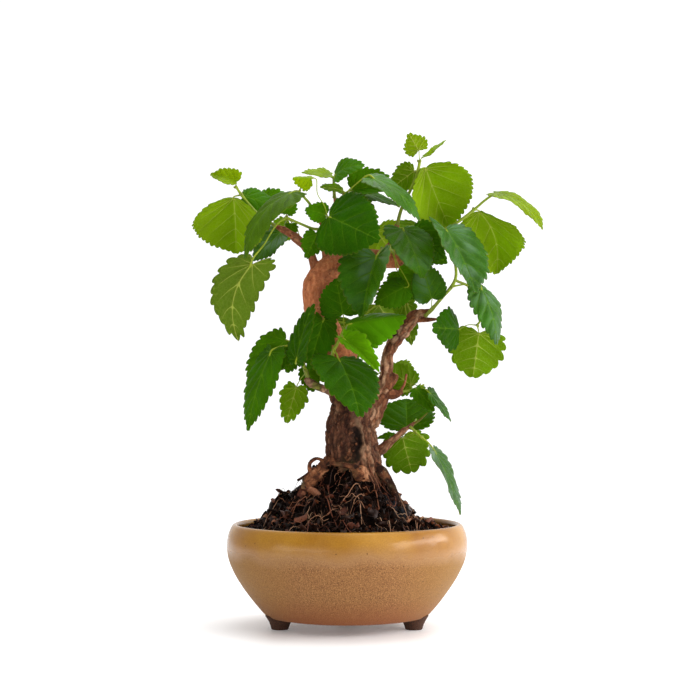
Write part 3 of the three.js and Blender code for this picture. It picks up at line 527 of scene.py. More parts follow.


# What most leaves share. The petiole leaves the stem "at" a share of it and runs "via" any given points to
# the blade. Turn is how far the face is turned from the eye, and past 90 degrees its underside shows. Fold and
# bend are in degrees too; sway, wave and pucker are in millimetres, and so is the pitch of the teeth, where 0
# leaves it to the leaf's size. The painted sheen is how much bluish grey reflection is painted on the face,
# and a leaf with any also gets the glossier upper face; blunt is how much fuller the tip is.
usualLeaf = {
    "turn": 0, "fold": 8, "bend": 20, "at": 0.98, "via": [], "sway": 0, "wave": 0.6, "haze": 0, "pucker": 0.8,
    "teeth": 0, "blunt": 0,
}


# One leaf, from its junction with the petiole to its tip; the turn, fold and bend may follow its width.
def blade(tone, junction, tip, width, *angles, **more):
    given = dict(zip(["turn", "fold", "bend"], angles))
    return {**usualLeaf, "tone": tone, "junction": junction, "tip": tip, "width": width, **given, **more}


# The leafy shoots: each stem from its foot to its tip, its radius, and its leaves.
shoots = {
    "upper_left": {
        "stem": [[-46, -3, 250.5], [-54, -1, 255.5], [-62, 1, 264], [-67, 1, 270.5], [-69.8, 1, 275]],
        "thickness": 1.1,
        "leaves": [
            blade("young", [-69.5, 0, 277.5], [-85.5, 5, 282.3], 16, 45, 25, 10),
            blade("bright", [-71, 4, 267.3], [-69.5, 26, 232], 61, 194, -42, 30, at=0.8),
            blade("mid", [-64, 6, 268], [-43, 9, 261.5], 19, -38, -10, at=0.82),
            blade("fresh", [-52, 19, 261.5], [-36, 24, 268.5], 21, -25, at=0.3, via=[[-53.5, 8, 253.5]]),
        ],
    },
    "upper_left_long": {
        "stem": [[-20.7, 3, 259.7], [-24, 0, 264.5], [-28, -4, 269], [-30, -8, 271.5]],
        "thickness": 1,
        "leaves": [
            blade("olive", [-34.5, -14, 270.7], [-63.5, -28, 229.5], 29, 58, -12, 70),
        ],
    },
    "left_hanging": {
        "stem": [[-17.1, 4, 247.6], [-22, 1, 248.2], [-30, -2, 251.5], [-38.5, -4, 255.2]],
        "thickness": 1,
        "leaves": [
            blade(
                "olive", [-59, -9, 226], [-67.5, -2, 176.8], 32, 180, 15,
                via=[[-44.5, -8, 250], [-52, -10, 238]], sway=-8, teeth=5,
            ),
            blade("blue", [-41.5, 13, 245.5], [-59, 15, 227.5], 25, 52, 5, 12, at=0.9, haze=0.4),
            blade("fresh", [-37.5, -2, 257.5], [-33.5, 2, 267.5], 10, -15, at=0.95),
            blade("mid", [-35, 0, 251], [-34.5, 4, 243.3], 8, at=0.8),
        ],
    },
    "upper_front": {
        "stem": [[-13.8, 2.8, 251.3], [-12, -7, 252.5], [-11.5, -14, 254.5]],
        "thickness": 1.1,
        "leaves": [
            blade("deep", [-11, -19, 255.5], [20.5, -42, 240.5], 42, -8, -6, 25, teeth=3.1),
            blade(
                "young", [-22.5, -15, 279.3], [-34, -14, 279.6], 16, 42, -42, 10,
                at=0.8, via=[[-14, -16, 262], [-18.5, -16, 270]],
            ),
            blade("fresh", [-13.5, -8, 257], [-26, -5, 260.3], 14.5, 25, 5, at=0.5),
            blade("mid", [-19, -7, 244.5], [-25.5, -9, 229.7], 15, at=0.3),
        ],
    },
    "top_middle": {
        "stem": [[-7.9, 6.6, 268.8], [-8.2, 5, 275], [-8.4, 4, 280.5]],
        "thickness": 1.1,
        "leaves": [
            blade("young", [-10.5, 3, 282], [-28.5, 0, 283.3], 15, 70, 5, 15),
            blade("mid", [-7, -5, 282], [11, -11, 287.5], 18, -50, 0, 65),
        ],
    },
    "top_broad": {
        "stem": [[-4.4, 6.2, 258.5], [-5, 0, 262], [-3, -4, 267], [-1, -5, 270]],
        "thickness": 1,
        "leaves": [
            blade("mid", [4, 4, 272.3], [31, 6, 275.5], 27, -30, 42, 15),
            blade("deep", [4, 9, 271], [33.5, 9, 261.3], 18, -70, 0, 25, at=0.9),
            blade("mid", [15.5, -19, 280], [45, -22, 253.5], 27, -66, -4, 50, haze=0.06),
            blade("mid", [-3, -3, 272.5], [-17, 1, 273.8], 13, 115, 0),
            blade("deep", [1, -12, 262.5], [17, -17, 243], 25, at=0.3),
        ],
    },
    "top_right": {
        "stem": [
            [31.6, 7, 251.2], [34, 5, 260], [38, 3, 268.5], [43, 3, 279.5], [45, 3, 287], [45.7, 3, 291],
        ],
        "thickness": 1.2,
        "leaves": [
            blade("young", [44.8, 3, 297.2], [38.8, 5, 307.4], 16, 180, 15),
            blade("young", [48.5, -4, 293.8], [62, -10, 304], 11, -76, 0, -10),
            blade("bright", [49.3, 6, 285.7], [64.7, 28, 247.7], 57, 166, -42, 25, at=0.85),
            blade("fresh", [42, 10, 284], [28, 11, 273.5], 18, 180, 10, at=0.82),
        ],
    },
    "right_arching": {
        "stem": [
            [58.8, 9, 246.9], [65, 9, 249.5], [72, 8, 254], [80, 7, 260.3], [86, 6, 265.5], [91.5, 5, 269.5],
        ],
        "thickness": 1.1,
        "leaves": [
            blade("bright", [83, 15, 258.4], [93.5, 40, 219], 55, 184, -44, 40, at=0.6, sway=5),
            blade("lime", [93.5, 4.5, 270.3], [122.8, -2, 247], 26, -73, 0, 62),
        ],
    },
    "right_spray": {
        "stem": [
            [50, -4.9, 194.3], [54, -7, 198.5], [60, -8, 205.5], [66, -9, 212.5], [68.3, -10, 220],
            [66.5, -10, 232], [63, -10, 243],
        ],
        "thickness": 1.2,
        "leaves": [
            blade("blue", [62, -12, 247.5], [80.5, -38, 207.7], 40, -54, 14, haze=0.2, pucker=1.3),
            blade(
                "blue", [83.6, -11, 211], [93.8, -20, 175.5], 25, -48, -18, 38, at=0.42, haze=0.2, pucker=1.1,
            ),
            blade("deep", [53, -9, 204.5], [46.5, -13, 227], 22, 0, 5, 15, at=0.08, haze=0.22),
        ],
    },
    "right_low_spray": {
        "stem": [[68.9, -8.3, 215.2], [77, -5, 211], [83, -4, 200], [84, -3, 192], [81, -3, 187]],
        "thickness": 0.9,
        "leaves": [
            blade("fresh", [82.5, -2, 182.5], [78.6, 14, 154.7], 34, 180, 8, 15, teeth=5.6, blunt=0.9),
            blade("deep", [69.5, -9, 185], [53.8, -27, 186], 27, 8, -12, 25, teeth=4.4),
        ],
    },
    "stump_front": {
        "stem": [[29, -2.1, 232.9], [26, -10, 236.3], [22.5, -17, 235.3]],
        "thickness": 1.1,
        "leaves": [
            blade(
                "deep", [18.5, -26, 230.5], [9.5, -38, 192.7], 40, 34, 32, haze=0.16, pucker=1.1, teeth=4.3,
            ),
            blade("mid", [35, -13, 247.5], [47, -36, 216.7], 31, -35, 0, 25, at=0.5, haze=0.08, pucker=1.3),
            blade("mid", [32, -3, 221], [43, -5, 203.5], 19, at=0.3),
            blade("mid", [36, -12, 211.5], [17.5, -14, 201], 20, 15, -15, at=0.2),
        ],
    },
    "crown_right": {
        "stem": [[45.6, 5.9, 240.7], [44.5, 1, 244], [42.5, -3, 247]],
        "thickness": 1,
        "leaves": [
            blade("deep", [42, -3.6, 246.2], [60.3, -0.6, 229.2], 24, -15, 5),
            blade("deep", [49, 6, 236.5], [63, 6, 226], 14, at=0.3),
        ],
    },
    "centre": {
        "stem": [[-9.2, -8.7, 167.5], [-8.5, -14, 171.5], [-5, -18, 178], [-1.5, -20, 186]],
        "thickness": 1.2,
        "leaves": [
            blade("fresh", [1.5, -25, 188.3], [37.5, -29, 193], 36, -40, -40, 15),
            blade("deep", [-2.5, -12, 194.5], [-7, -10, 217], 27),
            blade("bright", [-2, -31, 179.3], [20.5, -41, 157.7], 18, -36, 36, at=0.7, wave=1, teeth=3.6),
            blade("deep", [-5, -21, 166], [8, -48, 130.3], 44, -38, 0, 25, at=0.3),
        ],
    },
    "left_cluster": {
        "stem": [[-24.9, -3, 156.2], [-28, -4, 165], [-33, -5, 172], [-35, -6, 178], [-30, -9, 186]],
        "thickness": 1.2,
        "leaves": [
            blade("deep", [-15, -12, 190.5], [-24, -14, 160], 21, -5),
            blade("mid", [-38.5, -3, 178], [-62.5, 2, 151], 26, 25, 0, 30, at=0.68),
            blade("mid", [-47.5, -12, 170.5], [-61.7, -20, 121.3], 26, 46, -10, 25, at=0.62),
            blade("deep", [-34, 1, 171], [-37.5, 4, 157.5], 13, at=0.25),
            blade("deep", [-31.5, -24, 166], [-20.5, -24, 201.5], 20, -52, 5, at=0.12),
            blade("fresh", [-31.5, 5, 148.7], [-38, 7, 126.3], 17.5, 180, 12, at=0.05, teeth=3.7),
            blade("deep", [-24, 9, 161], [-21, 11, 145.5], 14, at=0.1),
        ],
    },
    "right_knot": {
        "stem": [[35.5, -3, 146.2], [41, -3.5, 147.3], [46, -4, 149.3], [48.3, -4, 150.4]],
        "thickness": 0.9,
        "leaves": [
            blade("mid", [40, 3, 150], [22.5, 10, 162.5], 19, 180, 5, at=0.75),
            blade("mid", [43.5, -7, 147.5], [54.5, -10, 133.5], 12, -30, -10, at=0.5),
            blade("deep", [52, -12, 145], [65, -4, 127.7], 20, -74, 0, 15, at=0.7),
        ],
    },
    "low_right": {
        "stem": [[40.5, -4.4, 123.1], [44.5, -6, 119.5], [46, -7, 117.8]],
        "thickness": 0.9,
        "leaves": [
            blade("blue", [55, -9, 108.5], [71, -15, 68.6], 25, -72, 4, 15, haze=0.25),
            blade("mid", [34.7, 1, 117.5], [40.3, 6, 95.7], 30, 180, 5, 15, at=0.4, teeth=5.4, blunt=0.8),
            blade("fresh", [29, 9, 119], [17.8, 12, 116.3], 7, 60, at=0.4, via=[[38, 1, 117.5]]),
        ],
    },
    "twig_end": {
        "stem": [[42.5, -1.7, 127.3], [43, 2.5, 128.5], [41, 5, 126]],
        "thickness": 0.8,
        "leaves": [
            blade("deep", [37.5, 7, 123.5], [37, 30, 142], 35),
        ],
    },
    "behind_branch": {
        "stem": [[40.6, 2.8, 191.6], [39, 5, 197], [37.5, 6, 201]],
        "thickness": 0.8,
        "leaves": [
            blade("deep", [36, 7, 201.5], [40.5, 9, 174.5], 15, 180),
        ],
    },
    "back_upper_left": {
        "stem": [[-14.1, 34.2, 221.3], [-11, 39, 224], [-8, 43, 226]],
        "thickness": 1,
        "leaves": [
            blade("mid", [-5, 46, 224], [-6, 64, 196], 30, 180),
            blade(
                "fresh", [-36, 42, 250], [-50, 50, 240], 17, 170, at=0.3,
                via=[[-20.5, 38, 226], [-28, 39, 239]],
            ),
        ],
    },
    "back_top": {
        "stem": [[2, 36.3, 246.7], [4, 38, 250], [8, 40, 253]],
        "thickness": 1,
        "leaves": [
            blade("mid", [7, 45, 251], [2, 66, 228], 30, 170),
            blade("bright", [18, 38, 246.5], [31, 56, 229.5], 29, 195),
            blade("fresh", [3, 33, 256], [-5, 20, 265], 17, 60, at=0.5),
        ],
    },
    "back_right": {
        "stem": [[44.4, 32.4, 250.6], [46, 38, 255], [48, 42, 261]],
        "thickness": 1,
        "leaves": [
            blade("mid", [45, 46, 250.5], [43, 66, 231], 31, 180, at=0.6),
            blade("bright", [52, 45, 267], [66, 60, 260], 25, -110),
        ],
    },
    "back_middle": {
        "stem": [[6, 31, 184.2], [6, 35, 188], [5, 37, 191]],
        "thickness": 1,
        "leaves": [
            blade("deep", [4, 41, 189.5], [2, 62, 164], 32, 180),
            blade("mid", [-13, 36, 188], [-25, 52, 171], 25, 160, at=0.5),
            blade("mid", [20, 36, 200], [30, 56, 183], 28, 200, at=0.5),
        ],
    },
    "back_low": {
        "stem": [[13, 30.4, 147.4], [12, 33, 151], [10, 35, 154]],
        "thickness": 0.9,
        "leaves": [
            blade("mid", [8, 38, 152], [10, 56, 133], 24, 180),
            blade("fresh", [29, 32, 161], [40, 50, 147], 21, 195, at=0.5),
        ],
    },
}


# Mulberry leaf. The upper face is a waxy deep green whose veins are sunk and paler; the lower face is duller,
# lighter and yellower with raised cream veins. Both let light through, which makes the shaded faces glow.
def leafMaterial(name, tint, look):
    material, add, place = newMaterial(name)
    flat = add("UVMap", uv_map="flat")
    base = add("Attribute", attribute_name=tint, output="Color")
    veinDistance = add("Attribute", attribute_name="vein", output="Fac")
    edgeShare = add("Attribute", attribute_name="edge", output="Fac")
    vein = add("MapRange", veinDistance, 0.35, 1.5, 1.0, 0.0, interpolation_type="SMOOTHSTEP")
    shoulder = add("MapRange", veinDistance, 0.0, 5.0, 1.0, 0.0, interpolation_type="SMOOTHSTEP")
    warp = add("TexNoise", flat, Scale=0.5, Detail=2.0, output="Color")
    bent = add("MixRGB", 0.35, flat, warp, blend_type="ADD")
    cells = add("TexVoronoi", bent, Scale=0.5, feature="DISTANCE_TO_EDGE")  # a net of 2 mm meshes
    net = add("MapRange", cells, 0.0, 0.1, 1.0, 0.0, interpolation_type="SMOOTHSTEP")
    small = add("TexVoronoi", bent, Scale=1.9, feature="DISTANCE_TO_EDGE")  # and of 0.5 mm
    cloud = add("TexNoise", place, Scale=55.0, Detail=3.0)  # 18 mm patches
    cloud = add("MapRange", cloud, 0.3, 0.7, look["dark"], look["light"])
    shaded = add("MixRGB", 1.0, base, cloud, blend_type="MULTIPLY")
    paler = add("MixRGB", look["netColour"], shaded, look["veinColour"])
    colour = add("MixRGB", net, shaded, paler)
    nearVein = add("Math", shoulder, look["shoulder"], operation="MULTIPLY")
    colour = add("MixRGB", nearVein, colour, look["veinColour"])
    veinShare = add("Math", vein, look["veinShare"], operation="MULTIPLY")
    colour = add("MixRGB", veinShare, colour, look["veinColour"])
    rim = add("MapRange", edgeShare, 0.975, 1.0, 0.0, 0.55)
    colour = add("MixRGB", rim, colour, look["rimColour"])
    heights = add("Math", vein, look["veinRelief"], 0.0, operation="MULTIPLY_ADD")
    heights = add("Math", net, look["netRelief"], heights, operation="MULTIPLY_ADD")
    heights = add("Math", small, 0.12, heights, operation="MULTIPLY_ADD")
    bump = add("Bump", Strength=0.55, Distance=0.00035, Height=heights)
    glossy, dull = look["roughness"] - 0.05, look["roughness"] + 0.08
    rough = add("MapRange", cloud, look["dark"], look["light"], glossy, dull)
    glow = add("MixRGB", 0.45, look["glow"], colour)
    body = add(
        "BsdfPrincipled", Base_Color=colour, Roughness=rough, IOR=1.45, Specular_IOR_Level=look["specular"],
        Specular_Tint=look["shine"], Normal=bump,
    )
    through = add("BsdfTranslucent", Color=glow, Normal=bump)
    add("OutputMaterial", add("MixShader", look["through"], body, through))
    return material


upperLook = {
    "dark": 0.7, "light": 1.3, "veinColour": "#6f9a1e", "veinShare": 0.42, "shoulder": 0.06, "netColour": 0.14,
    "rimColour": "#76702a", "veinRelief": -0.8, "netRelief": -0.5, "roughness": 0.33, "specular": 0.08,
    "shine": "#a9d35a", "glow": "#a8e010", "through": 0.3,
}
# The leaves with a painted sheen also get a glossier, more reflective upper face.
paintedSheenLook = {
    **upperLook, "veinShare": 0.36, "roughness": 0.3, "specular": 0.24, "shine": "#c4dc9c", "through": 0.28,
}
underLook = {
    "dark": 0.85, "light": 1.15, "veinColour": "#c4cb5e", "veinShare": 0.85, "shoulder": 0.07,
    "netColour": 0.18, "rimColour": "#8c9638", "veinRelief": 1.0, "netRelief": 0.5, "roughness": 0.6,
    "specular": 0.12, "shine": "#d5e08a", "glow": "#f2f52c", "through": 0.42,
}


# Soft green stem: yellow-green petioles that turn olive and then brown towards the wood, with uneven patches,
# pale dots and a dull shine.
def stemMaterial():
    material, add, place = newMaterial("green_stem_skin")
    age = add("Attribute", attribute_name="age", output="Fac")
    patches = add("TexNoise", place, Scale=350.0, Detail=3.0)  # 3 mm
    mixed = add("Math", patches, 0.35, age, operation="MULTIPLY_ADD")
    colour = add("ValToRGB", mixed, stops=[
        (0.1, "#93a41c"), (0.4, "#869a26"), (0.75, "#7d8232"), (1.0, "#735c36"),
    ])
    dots = add("TexVoronoi", place, Scale=900.0)  # 1 mm apart
    colour = add("MixRGB", add("MapRange", dots, 0.1, 0.22, 0.45, 0.0), colour, "#c2b98a")
    addBody(add, colour, patches, 0.4, 0.0002, Roughness=0.45, IOR=1.45, Specular_IOR_Level=0.3)
    return material


leafMaterials = [
    leafMaterial("waxy_leaf_upper", "upperTint", upperLook),
    leafMaterial("matt_leaf_underside", "underTint", underLook),
    stemMaterial(),
    leafMaterial("waxy_leaf_upper_with_painted_sheen", "upperTint", paintedSheenLook),
]
leafNumber = 0
for shootName, shoot in shoots.items():
    stemCurve, _ = curveThrough(seen(shoot["stem"]), 400)
    parts = stemParts(shoot)
    for leaf in shoot["leaves"]:
        leafNumber += 1
        shape = leafShape(leaf)
        parts.append(bladePart(leaf, shape, leafNumber))
        parts.append(petiolePart(leaf, shape, stemCurve[int(round(400 * leaf["at"]))]))
    makePiece("leaves_" + shootName, parts, leafMaterials, ["shoot_" + shootName])
print("shoots made,", leafNumber, "leaves")


# The wood that grew in one piece: trunk, branches and roots, as [across, depth, height, radius].
trunkSpine = [
    [4, 0, 80, 20],
    [4.5, 0, 98, 18],
    [2.8, 0, 110, 17],
    [2.4, 0, 124, 15.6],
    [2.8, 0, 138, 13],
    [-1, 0, 150, 11.5],
    [-4, 1, 163, 10],
    [-9, 2, 176, 9.3],
    [-15, 3, 189, 9],
    [-18.2, 3, 201, 9],
    [-18.2, 3, 212, 9.4],
    [-12, 3, 221, 9],
    [-1, 4, 226.5, 7.6],
    [12, 5, 228.5, 6.8],
    [23, 4, 229, 5.8],
    [35, 3, 228.5, 5.2],
]
branches = [
    [
        [13, -1, 126, 8], [19, -2, 140, 6.4], [23.5, -2, 150, 4.6], [24.8, -2, 160, 4], [25.5, -2, 168, 4.1],
        [29, -2, 176, 4.3], [34, -2, 183, 4.3], [38.5, -2, 189, 4.3], [43, -2, 193.5, 4], [48, -2, 195.5, 2.6],
    ],
    [[43, -2, 194, 2.6], [48, -3, 196, 1.8], [52, -3, 197.2, 1]],
    [[44, -2, 191.5, 2.4], [50, -2, 191, 1.5], [57, -2, 191.4, 0.7]],
    [[23, -3, 146, 3.2], [28, -4, 152, 2.6], [31, -4, 157, 1.9]],
    [[24, -2, 145, 3.4], [30, -3, 144.5, 2.8], [35, -3, 146, 1.3]],
    [[33, -4, 146, 1.1], [36, -4, 151, 0.8], [37.2, -4, 157, 0.8]],
    [
        [12, -2, 104, 5], [21, -3, 109.5, 3.1], [25, -3, 113, 2.5], [30, -3, 117, 2.2], [34.5, -3, 121, 2],
        [39.5, -3, 124.5, 1.4], [42.5, -3, 127, 0.9],
    ],
    [[37, -3, 123, 1.1], [45, -3, 128, 0.7], [50.7, -3, 133.2, 0.5]],
    [
        [-2, -2, 141, 6], [-9, -3, 146, 3.4], [-14, -3, 147.5, 2.6], [-19, -3, 149.5, 2.4],
        [-23.5, -3, 152, 2.5], [-26, -3, 154.5, 2],
    ],
    [
        [-17, 2, 214, 5], [-20.5, 1, 225, 2.6], [-23, 0, 233, 2.5], [-28, -1, 238.5, 2.8], [-33, -2, 243, 2.8],
        [-39, -3, 246.9, 2.4], [-45.5, -3, 250, 1.3],
    ],
    [[-12, 4, 222, 4], [-13, 5, 236, 2.4], [-14, 5, 247, 2], [-17, 4, 254, 1.7], [-20.5, 3, 259, 1.3]],
    [[0, 5, 227, 3.5], [-2, 9, 240, 2.2], [-5, 9, 256, 1.8], [-7.8, 7, 268.3, 1.3]],
    [[22, 5, 229, 3], [28, 8, 240, 2], [31.5, 7.4, 250.7, 1.5]],
    [[28, 4, 229, 3], [42, 8, 239, 2], [52, 9, 244, 1.6], [58.5, 9, 246.6, 1.3]],
    [[-17, 6, 206, 4.5], [-18, 22, 214, 2.2], [-15, 34, 221, 1.5]],
    [[4, 6, 227, 3.5], [4, 24, 236, 2.2], [1.5, 35.6, 246, 1.4]],
    [[43, 8.5, 239, 1.9], [43, 21, 245, 1.7], [44, 32.2, 250.2, 1.2]],
    [[0, 6, 162, 4.5], [5, 20, 174, 2.4], [6, 31, 183.8, 1.5]],
    [[5, 8, 124, 5], [11, 22, 136, 2.4], [13.2, 30, 146.8, 1.4]],
]
roots = [
    [[12, -6, 101, 5], [20.4, -11, 97, 3.2], [25.8, -13, 90, 2.6], [29.8, -15, 83, 2.2], [33, -18, 74, 1.8]],
    [[-9, -8, 101, 6], [-18, -13, 94, 4.6], [-23, -15, 88, 4.8], [-25, -16, 83, 3.8]],
    [[2, -12, 96, 5], [7, -16.5, 95, 5], [10, -17, 94, 4.2]],
    [[-15, -9, 102, 1.6], [-9, -15, 101, 1.4], [-1, -18, 100, 1.4], [6, -18.5, 98.5, 1.6]],
    [
        [-14, -9, 102.5, 1.3], [-19, -12, 104.3, 1.2], [-23, -13, 101.5, 1.2], [-23, -14, 96, 1.3],
        [-20, -13, 92, 1.4],
    ],
    [[-20, -13, 98, 1.4], [-26, -14, 93.5, 1.1], [-31, -15, 90.5, 0.9]],
    [[2, 10, 100, 6], [4, 22, 92, 3.6], [8, 32, 80, 2.6], [10, 38, 68, 1.8]],
    [[-9, 6, 100, 6], [-20, 12, 92, 3.6], [-30, 18, 80, 2.6], [-36, 22, 68, 1.8]],
    [[14, 6, 100, 5], [23, 13, 90, 3.2], [31, 20, 78, 2.4], [36, 26, 66, 1.8]],
]
wood = {
    "voxel": 0.63,
    "crackSize": 2.9,  # across an old bark plate
    "crackDepth": 0.6,
    "woundCentre": [2.2, -17.5, 112.7],
    "woundSize": [7.8, 13.8],  # half its width and height
    "woundDepth": 4.6,
    "stubs": [  # broken off
        [[-12, -3, 218, 4.5], [-5, -8, 219.5, 3.4], [1, -11, 221.5, 2.6], [3.5, -12, 222.5, 2.2]],
    ],
    "barkTurnsYoung": [138, 178],  # heights on the trunk
    # places in the list of limbs, where 0 is the trunk
    "rightBranch": 1,
    "lowTwig": 7,
    "lowTwigTip": 8,
    "leftStub": 9,
    # how old the bark looks on each branch, where it isn't as young as on a twig
    "ages": {1: 0.78, 2: 0.6, 3: 0.6, 4: 0.7, 5: 0.6, 6: 0.5, 7: 0.75, 8: 0.5, 9: 0.8, 10: 0.5, 11: 0.35},
    # how light each root is: right, cut block on the left, knob, ring, loop, strand
    "rootTones": {20: 0.0, 21: 0.26, 22: 0.46, 23: 0.12, 24: 0.16, 25: 0.05},
}
limbs = [trunkSpine, *branches, *roots, *wood["stubs"]]


# A limb's path through the frame, with the radius at each of its points.
def limbPath(limb, count):
    limb = np.array(limb, float)
    path, place = curveThrough(seen(limb[:, :3]), count)
    return path, np.interp(place, np.arange(len(limb)), limb[:, 3])


# One list of a mesh's numbers, as an array of rows of three.
def rowsOfThree(items, key, kind=float):
    values = np.empty(len(items) * 3, kind)
    items.foreach_get(key, values)
    return values.reshape(-1, 3)


# The limbs are closed tubes, merged into one skin by a voxel remesh.
def woodSkin():
    parts = []
    for limb in limbs:
        path, radii = limbPath(limb, max(8, 6 * len(limb)))
        parts.append(tube(path, radii, 40 if limb is trunkSpine else 20))
    points, faces = joined(parts)
    mesh = bpy.data.meshes.new("woodScratch")
    mesh.from_pydata(points.tolist(), [], faces.tolist())
    scratch = newObject("woodScratch", mesh)
    remesh = scratch.modifiers.new("skin", "REMESH")
    remesh.mode = "VOXEL"
    remesh.voxel_size = wood["voxel"] * 0.001
    skin = scratch.evaluated_get(bpy.context.evaluated_depsgraph_get()).to_mesh()
    skin.calc_loop_triangles()
    points = rowsOfThree(skin.vertices, "co") * 1000
    normals = rowsOfThree(skin.vertex_normals, "vector")
    faces = rowsOfThree(skin.loop_triangles, "vertices", np.int32)
    bpy.data.objects.remove(scratch)
    bpy.data.meshes.remove(mesh)
    return points, normals, faces


# Each skin point's place in its nearest limb: the two offsets from its axis and the distance along it, its
# radius there, how far before the limb's end it is, and the limb's number.
def limbPlaces(points):
    centres, axes, facts = [], [], []
    for number, limb in enumerate(limbs):
        length = np.linalg.norm(np.diff(seen(np.array(limb)[:, :3]), axis=0), axis=1).sum()
        path, radii = limbPath(limb, int(length / 0.9))
        along = np.linspace(0, length, len(path))
        centres.append(path)
        axes.append(np.stack(pathFrames(path), 1))
        facts.append(np.stack([along, radii, length - along, np.full(len(path), number)], 1))
    centres, axes, facts = (np.concatenate(group) for group in (centres, axes, facts))
    nearest = np.empty(len(points), int)
    for start in range(0, len(points), 4000):
        block = points[start : start + 4000]
        squared = (block**2).sum(1)[:, None] - 2 * block @ centres.T + (centres**2).sum(1)[None]
        nearest[start : start + 4000] = np.argmin(np.sqrt(np.maximum(squared, 0)) - facts[:, 1], axis=1)
    gap = points - centres[nearest]
    axes = axes[nearest]
    local = np.stack([(gap * axes[:, k]).sum(1) for k in (1, 2, 0)], 1)
    local[:, 2] += facts[nearest, 0]
    return local, facts[nearest, 1], facts[nearest, 2], facts[nearest, 3].astype(int)


# A value for each point from a table by limb number.
def byLimb(table, limb, usual):
    return np.array([table.get(number, usual) for number in range(limb.max() + 1)])[limb]


# The bark: old wood is cut into long plates by cracks (the gap between scattered cells stretched along the
# limb), young wood is smooth with faint lengthwise ridges and small knobs. Points move along their normals.
def makeWood():
    points, normals, faces = woodSkin()
    local, radius, toEnd, limb = limbPlaces(points)
    height = points[:, 2]
    stretched = np.column_stack([local[:, :2], local[:, 2] / 2.3 + limb * 50])
    waver = np.stack([noise(points, 6, k) for k in (1, 2, 3)], 1) * 1.1
    gap, mark = plates(stretched + waver, wood["crackSize"], 4)
    fineGap, fineMark = plates(stretched * [1, 1, 1.3] + waver, 1.7, 8)
    rootWood = (limb > len(branches)) & (limb <= len(branches) + len(roots))
    trunkWood = limb == 0
    age = np.where(rootWood, 0.35, byLimb(wood["ages"], limb, 0.2))
    age = np.where(trunkWood, 1 - ease(height, *wood["barkTurnsYoung"]), age)
    age = np.clip(age + 0.18 * noise(points, 9, 12), 0, 1)
    thick = np.clip(radius / 6, 0.12, 1)
    crack = (1 - ease(gap, 0.02, 0.3)) * age + 0.55 * (1 - ease(fineGap, 0.02, 0.3)) * age
    rough = roughNoise(stretched, 2.6, 3, 20)
    streaks = noise(np.column_stack([local[:, :2], local[:, 2] / 9 + limb * 20]), 1.3, 30)
    knobs = np.maximum(roughNoise(points, 5.5, 2, 40) - 0.35, 0)
    move = -wood["crackDepth"] * crack * thick + 0.3 * age * thick * mark
    move = move + (0.2 + 0.35 * age + 0.9 * rootWood) * thick * rough
    move = move + 0.12 * thick * streaks + 0.9 * thick * knobs
    move += thick * age * 1.3 * noise(np.column_stack([local[:, :2], local[:, 2] / 3]), 7.5, 50)
    rings = noise(np.column_stack([0 * local[:, :2], local[:, 2] + limb * 37]), 3.2, 77)
    move += 0.5 * rings * ~trunkWood * np.minimum(radius / 3, 1)

    # The wound is an ellipsoid's dent full of crumbly lumps, with a rolled edge on its right.
    centre = seen(wood["woundCentre"])
    across = points[:, 0] - centre[0] + 2.2 * noise(points, 5.5, 60) + 1.2 * noise(points, 2.6, 63)
    rise = points[:, 2] - centre[2] + 3.2 * noise(points, 6, 61) + 1.5 * noise(points, 3, 64)
    across, rise = across / wood["woundSize"][0], rise / wood["woundSize"][1]
    reach = np.sqrt(across**2 + rise**2)
    front = (points[:, 1] < -6) & trunkWood
    dent = np.where(front, np.sqrt(np.maximum(1 - reach**2, 0)), 0) * ease(across, -1.1, -0.2)
    roll = np.where(front, bell(reach - 1.13, 0.17), 0) * ease(across, 0.0, 0.6) * ease(rise, -0.95, -0.4)
    lumpGap, lumpMark = plates(points * [1, 1, 1.5] + 2 * waver, 3.9, 66)
    lumps = ease(lumpGap, 0.02, 0.34) * (0.75 + 0.25 * lumpMark) * (dent > 0) * (1 - ease(across, 0.3, 0.62))
    move = np.where(front, move * (1 - 0.7 * dent) + 1.5 * roll, move)
    points = points + normals * move[:, None]
    points[:, 1] += wood["woundDepth"] * dent - 3.0 * dent * lumps

    # The values that the bark's material reads.
    # Painted light: the trunk is lighter on its right side, as if lit from the right; the right branch, the
    # low twig and the left stub are paler wood.
    lighter = 0.2 * ease(points[:, 0] - potAxis, -6, 14) * trunkWood  # the trunk's right side
    lighter = lighter + (limb == wood["rightBranch"]) * (0.44 + 0.36 * mark)
    lighter = lighter + 0.36 * (limb == wood["lowTwig"]) + 0.8 * (limb == wood["leftStub"])
    rootTone = byLimb(wood["rootTones"], limb, 0.12)
    rootTone = rootTone + 0.36 * noise(points, 5, 33) + 0.2 * noise(points, 1.8, 34)
    stubGreen = 0.8 * ease(toEnd, 4, 7) * (1 - ease(toEnd, 10, 15)) * (limb == wood["leftStub"])
    part = {
        "points": points,
        "faces": faces,
        "age": age,
        "crack": np.clip(crack, 0, 1),
        "plate": 0.8 * (0.42 + 0.14 * mark + 0.16 * fineMark + 0.3 * rough + lighter),
        # Painted shade: the wound's dent is dark in the gaps between its lumps, most towards its right side by
        # the rolled edge.
        "wound": ease(dent, 0.1, 0.4) * (0.3 + 0.7 * ease(across, -0.3, 0.4)) * (1 - 0.95 * lumps),
        "callus": roll,
        "cut": ease(toEnd, 0.5, 0.05) * (radius > 1.7) * ~rootWood * (height > 90),
        "root": np.maximum(rootWood, ease(dent, 0.05, 0.4) * np.clip(1.3 * lumps, 0, 1)),
        "tone": np.where(rootWood, rootTone, 0.16 + 0.2 * lumpMark),
        "green": np.where(limb == wood["lowTwigTip"], 0.9, stubGreen),
    }
    makePiece("bark_and_wood", [part], [barkMaterial()], ["trunk"])
    print("wood made,", len(faces), "triangles")


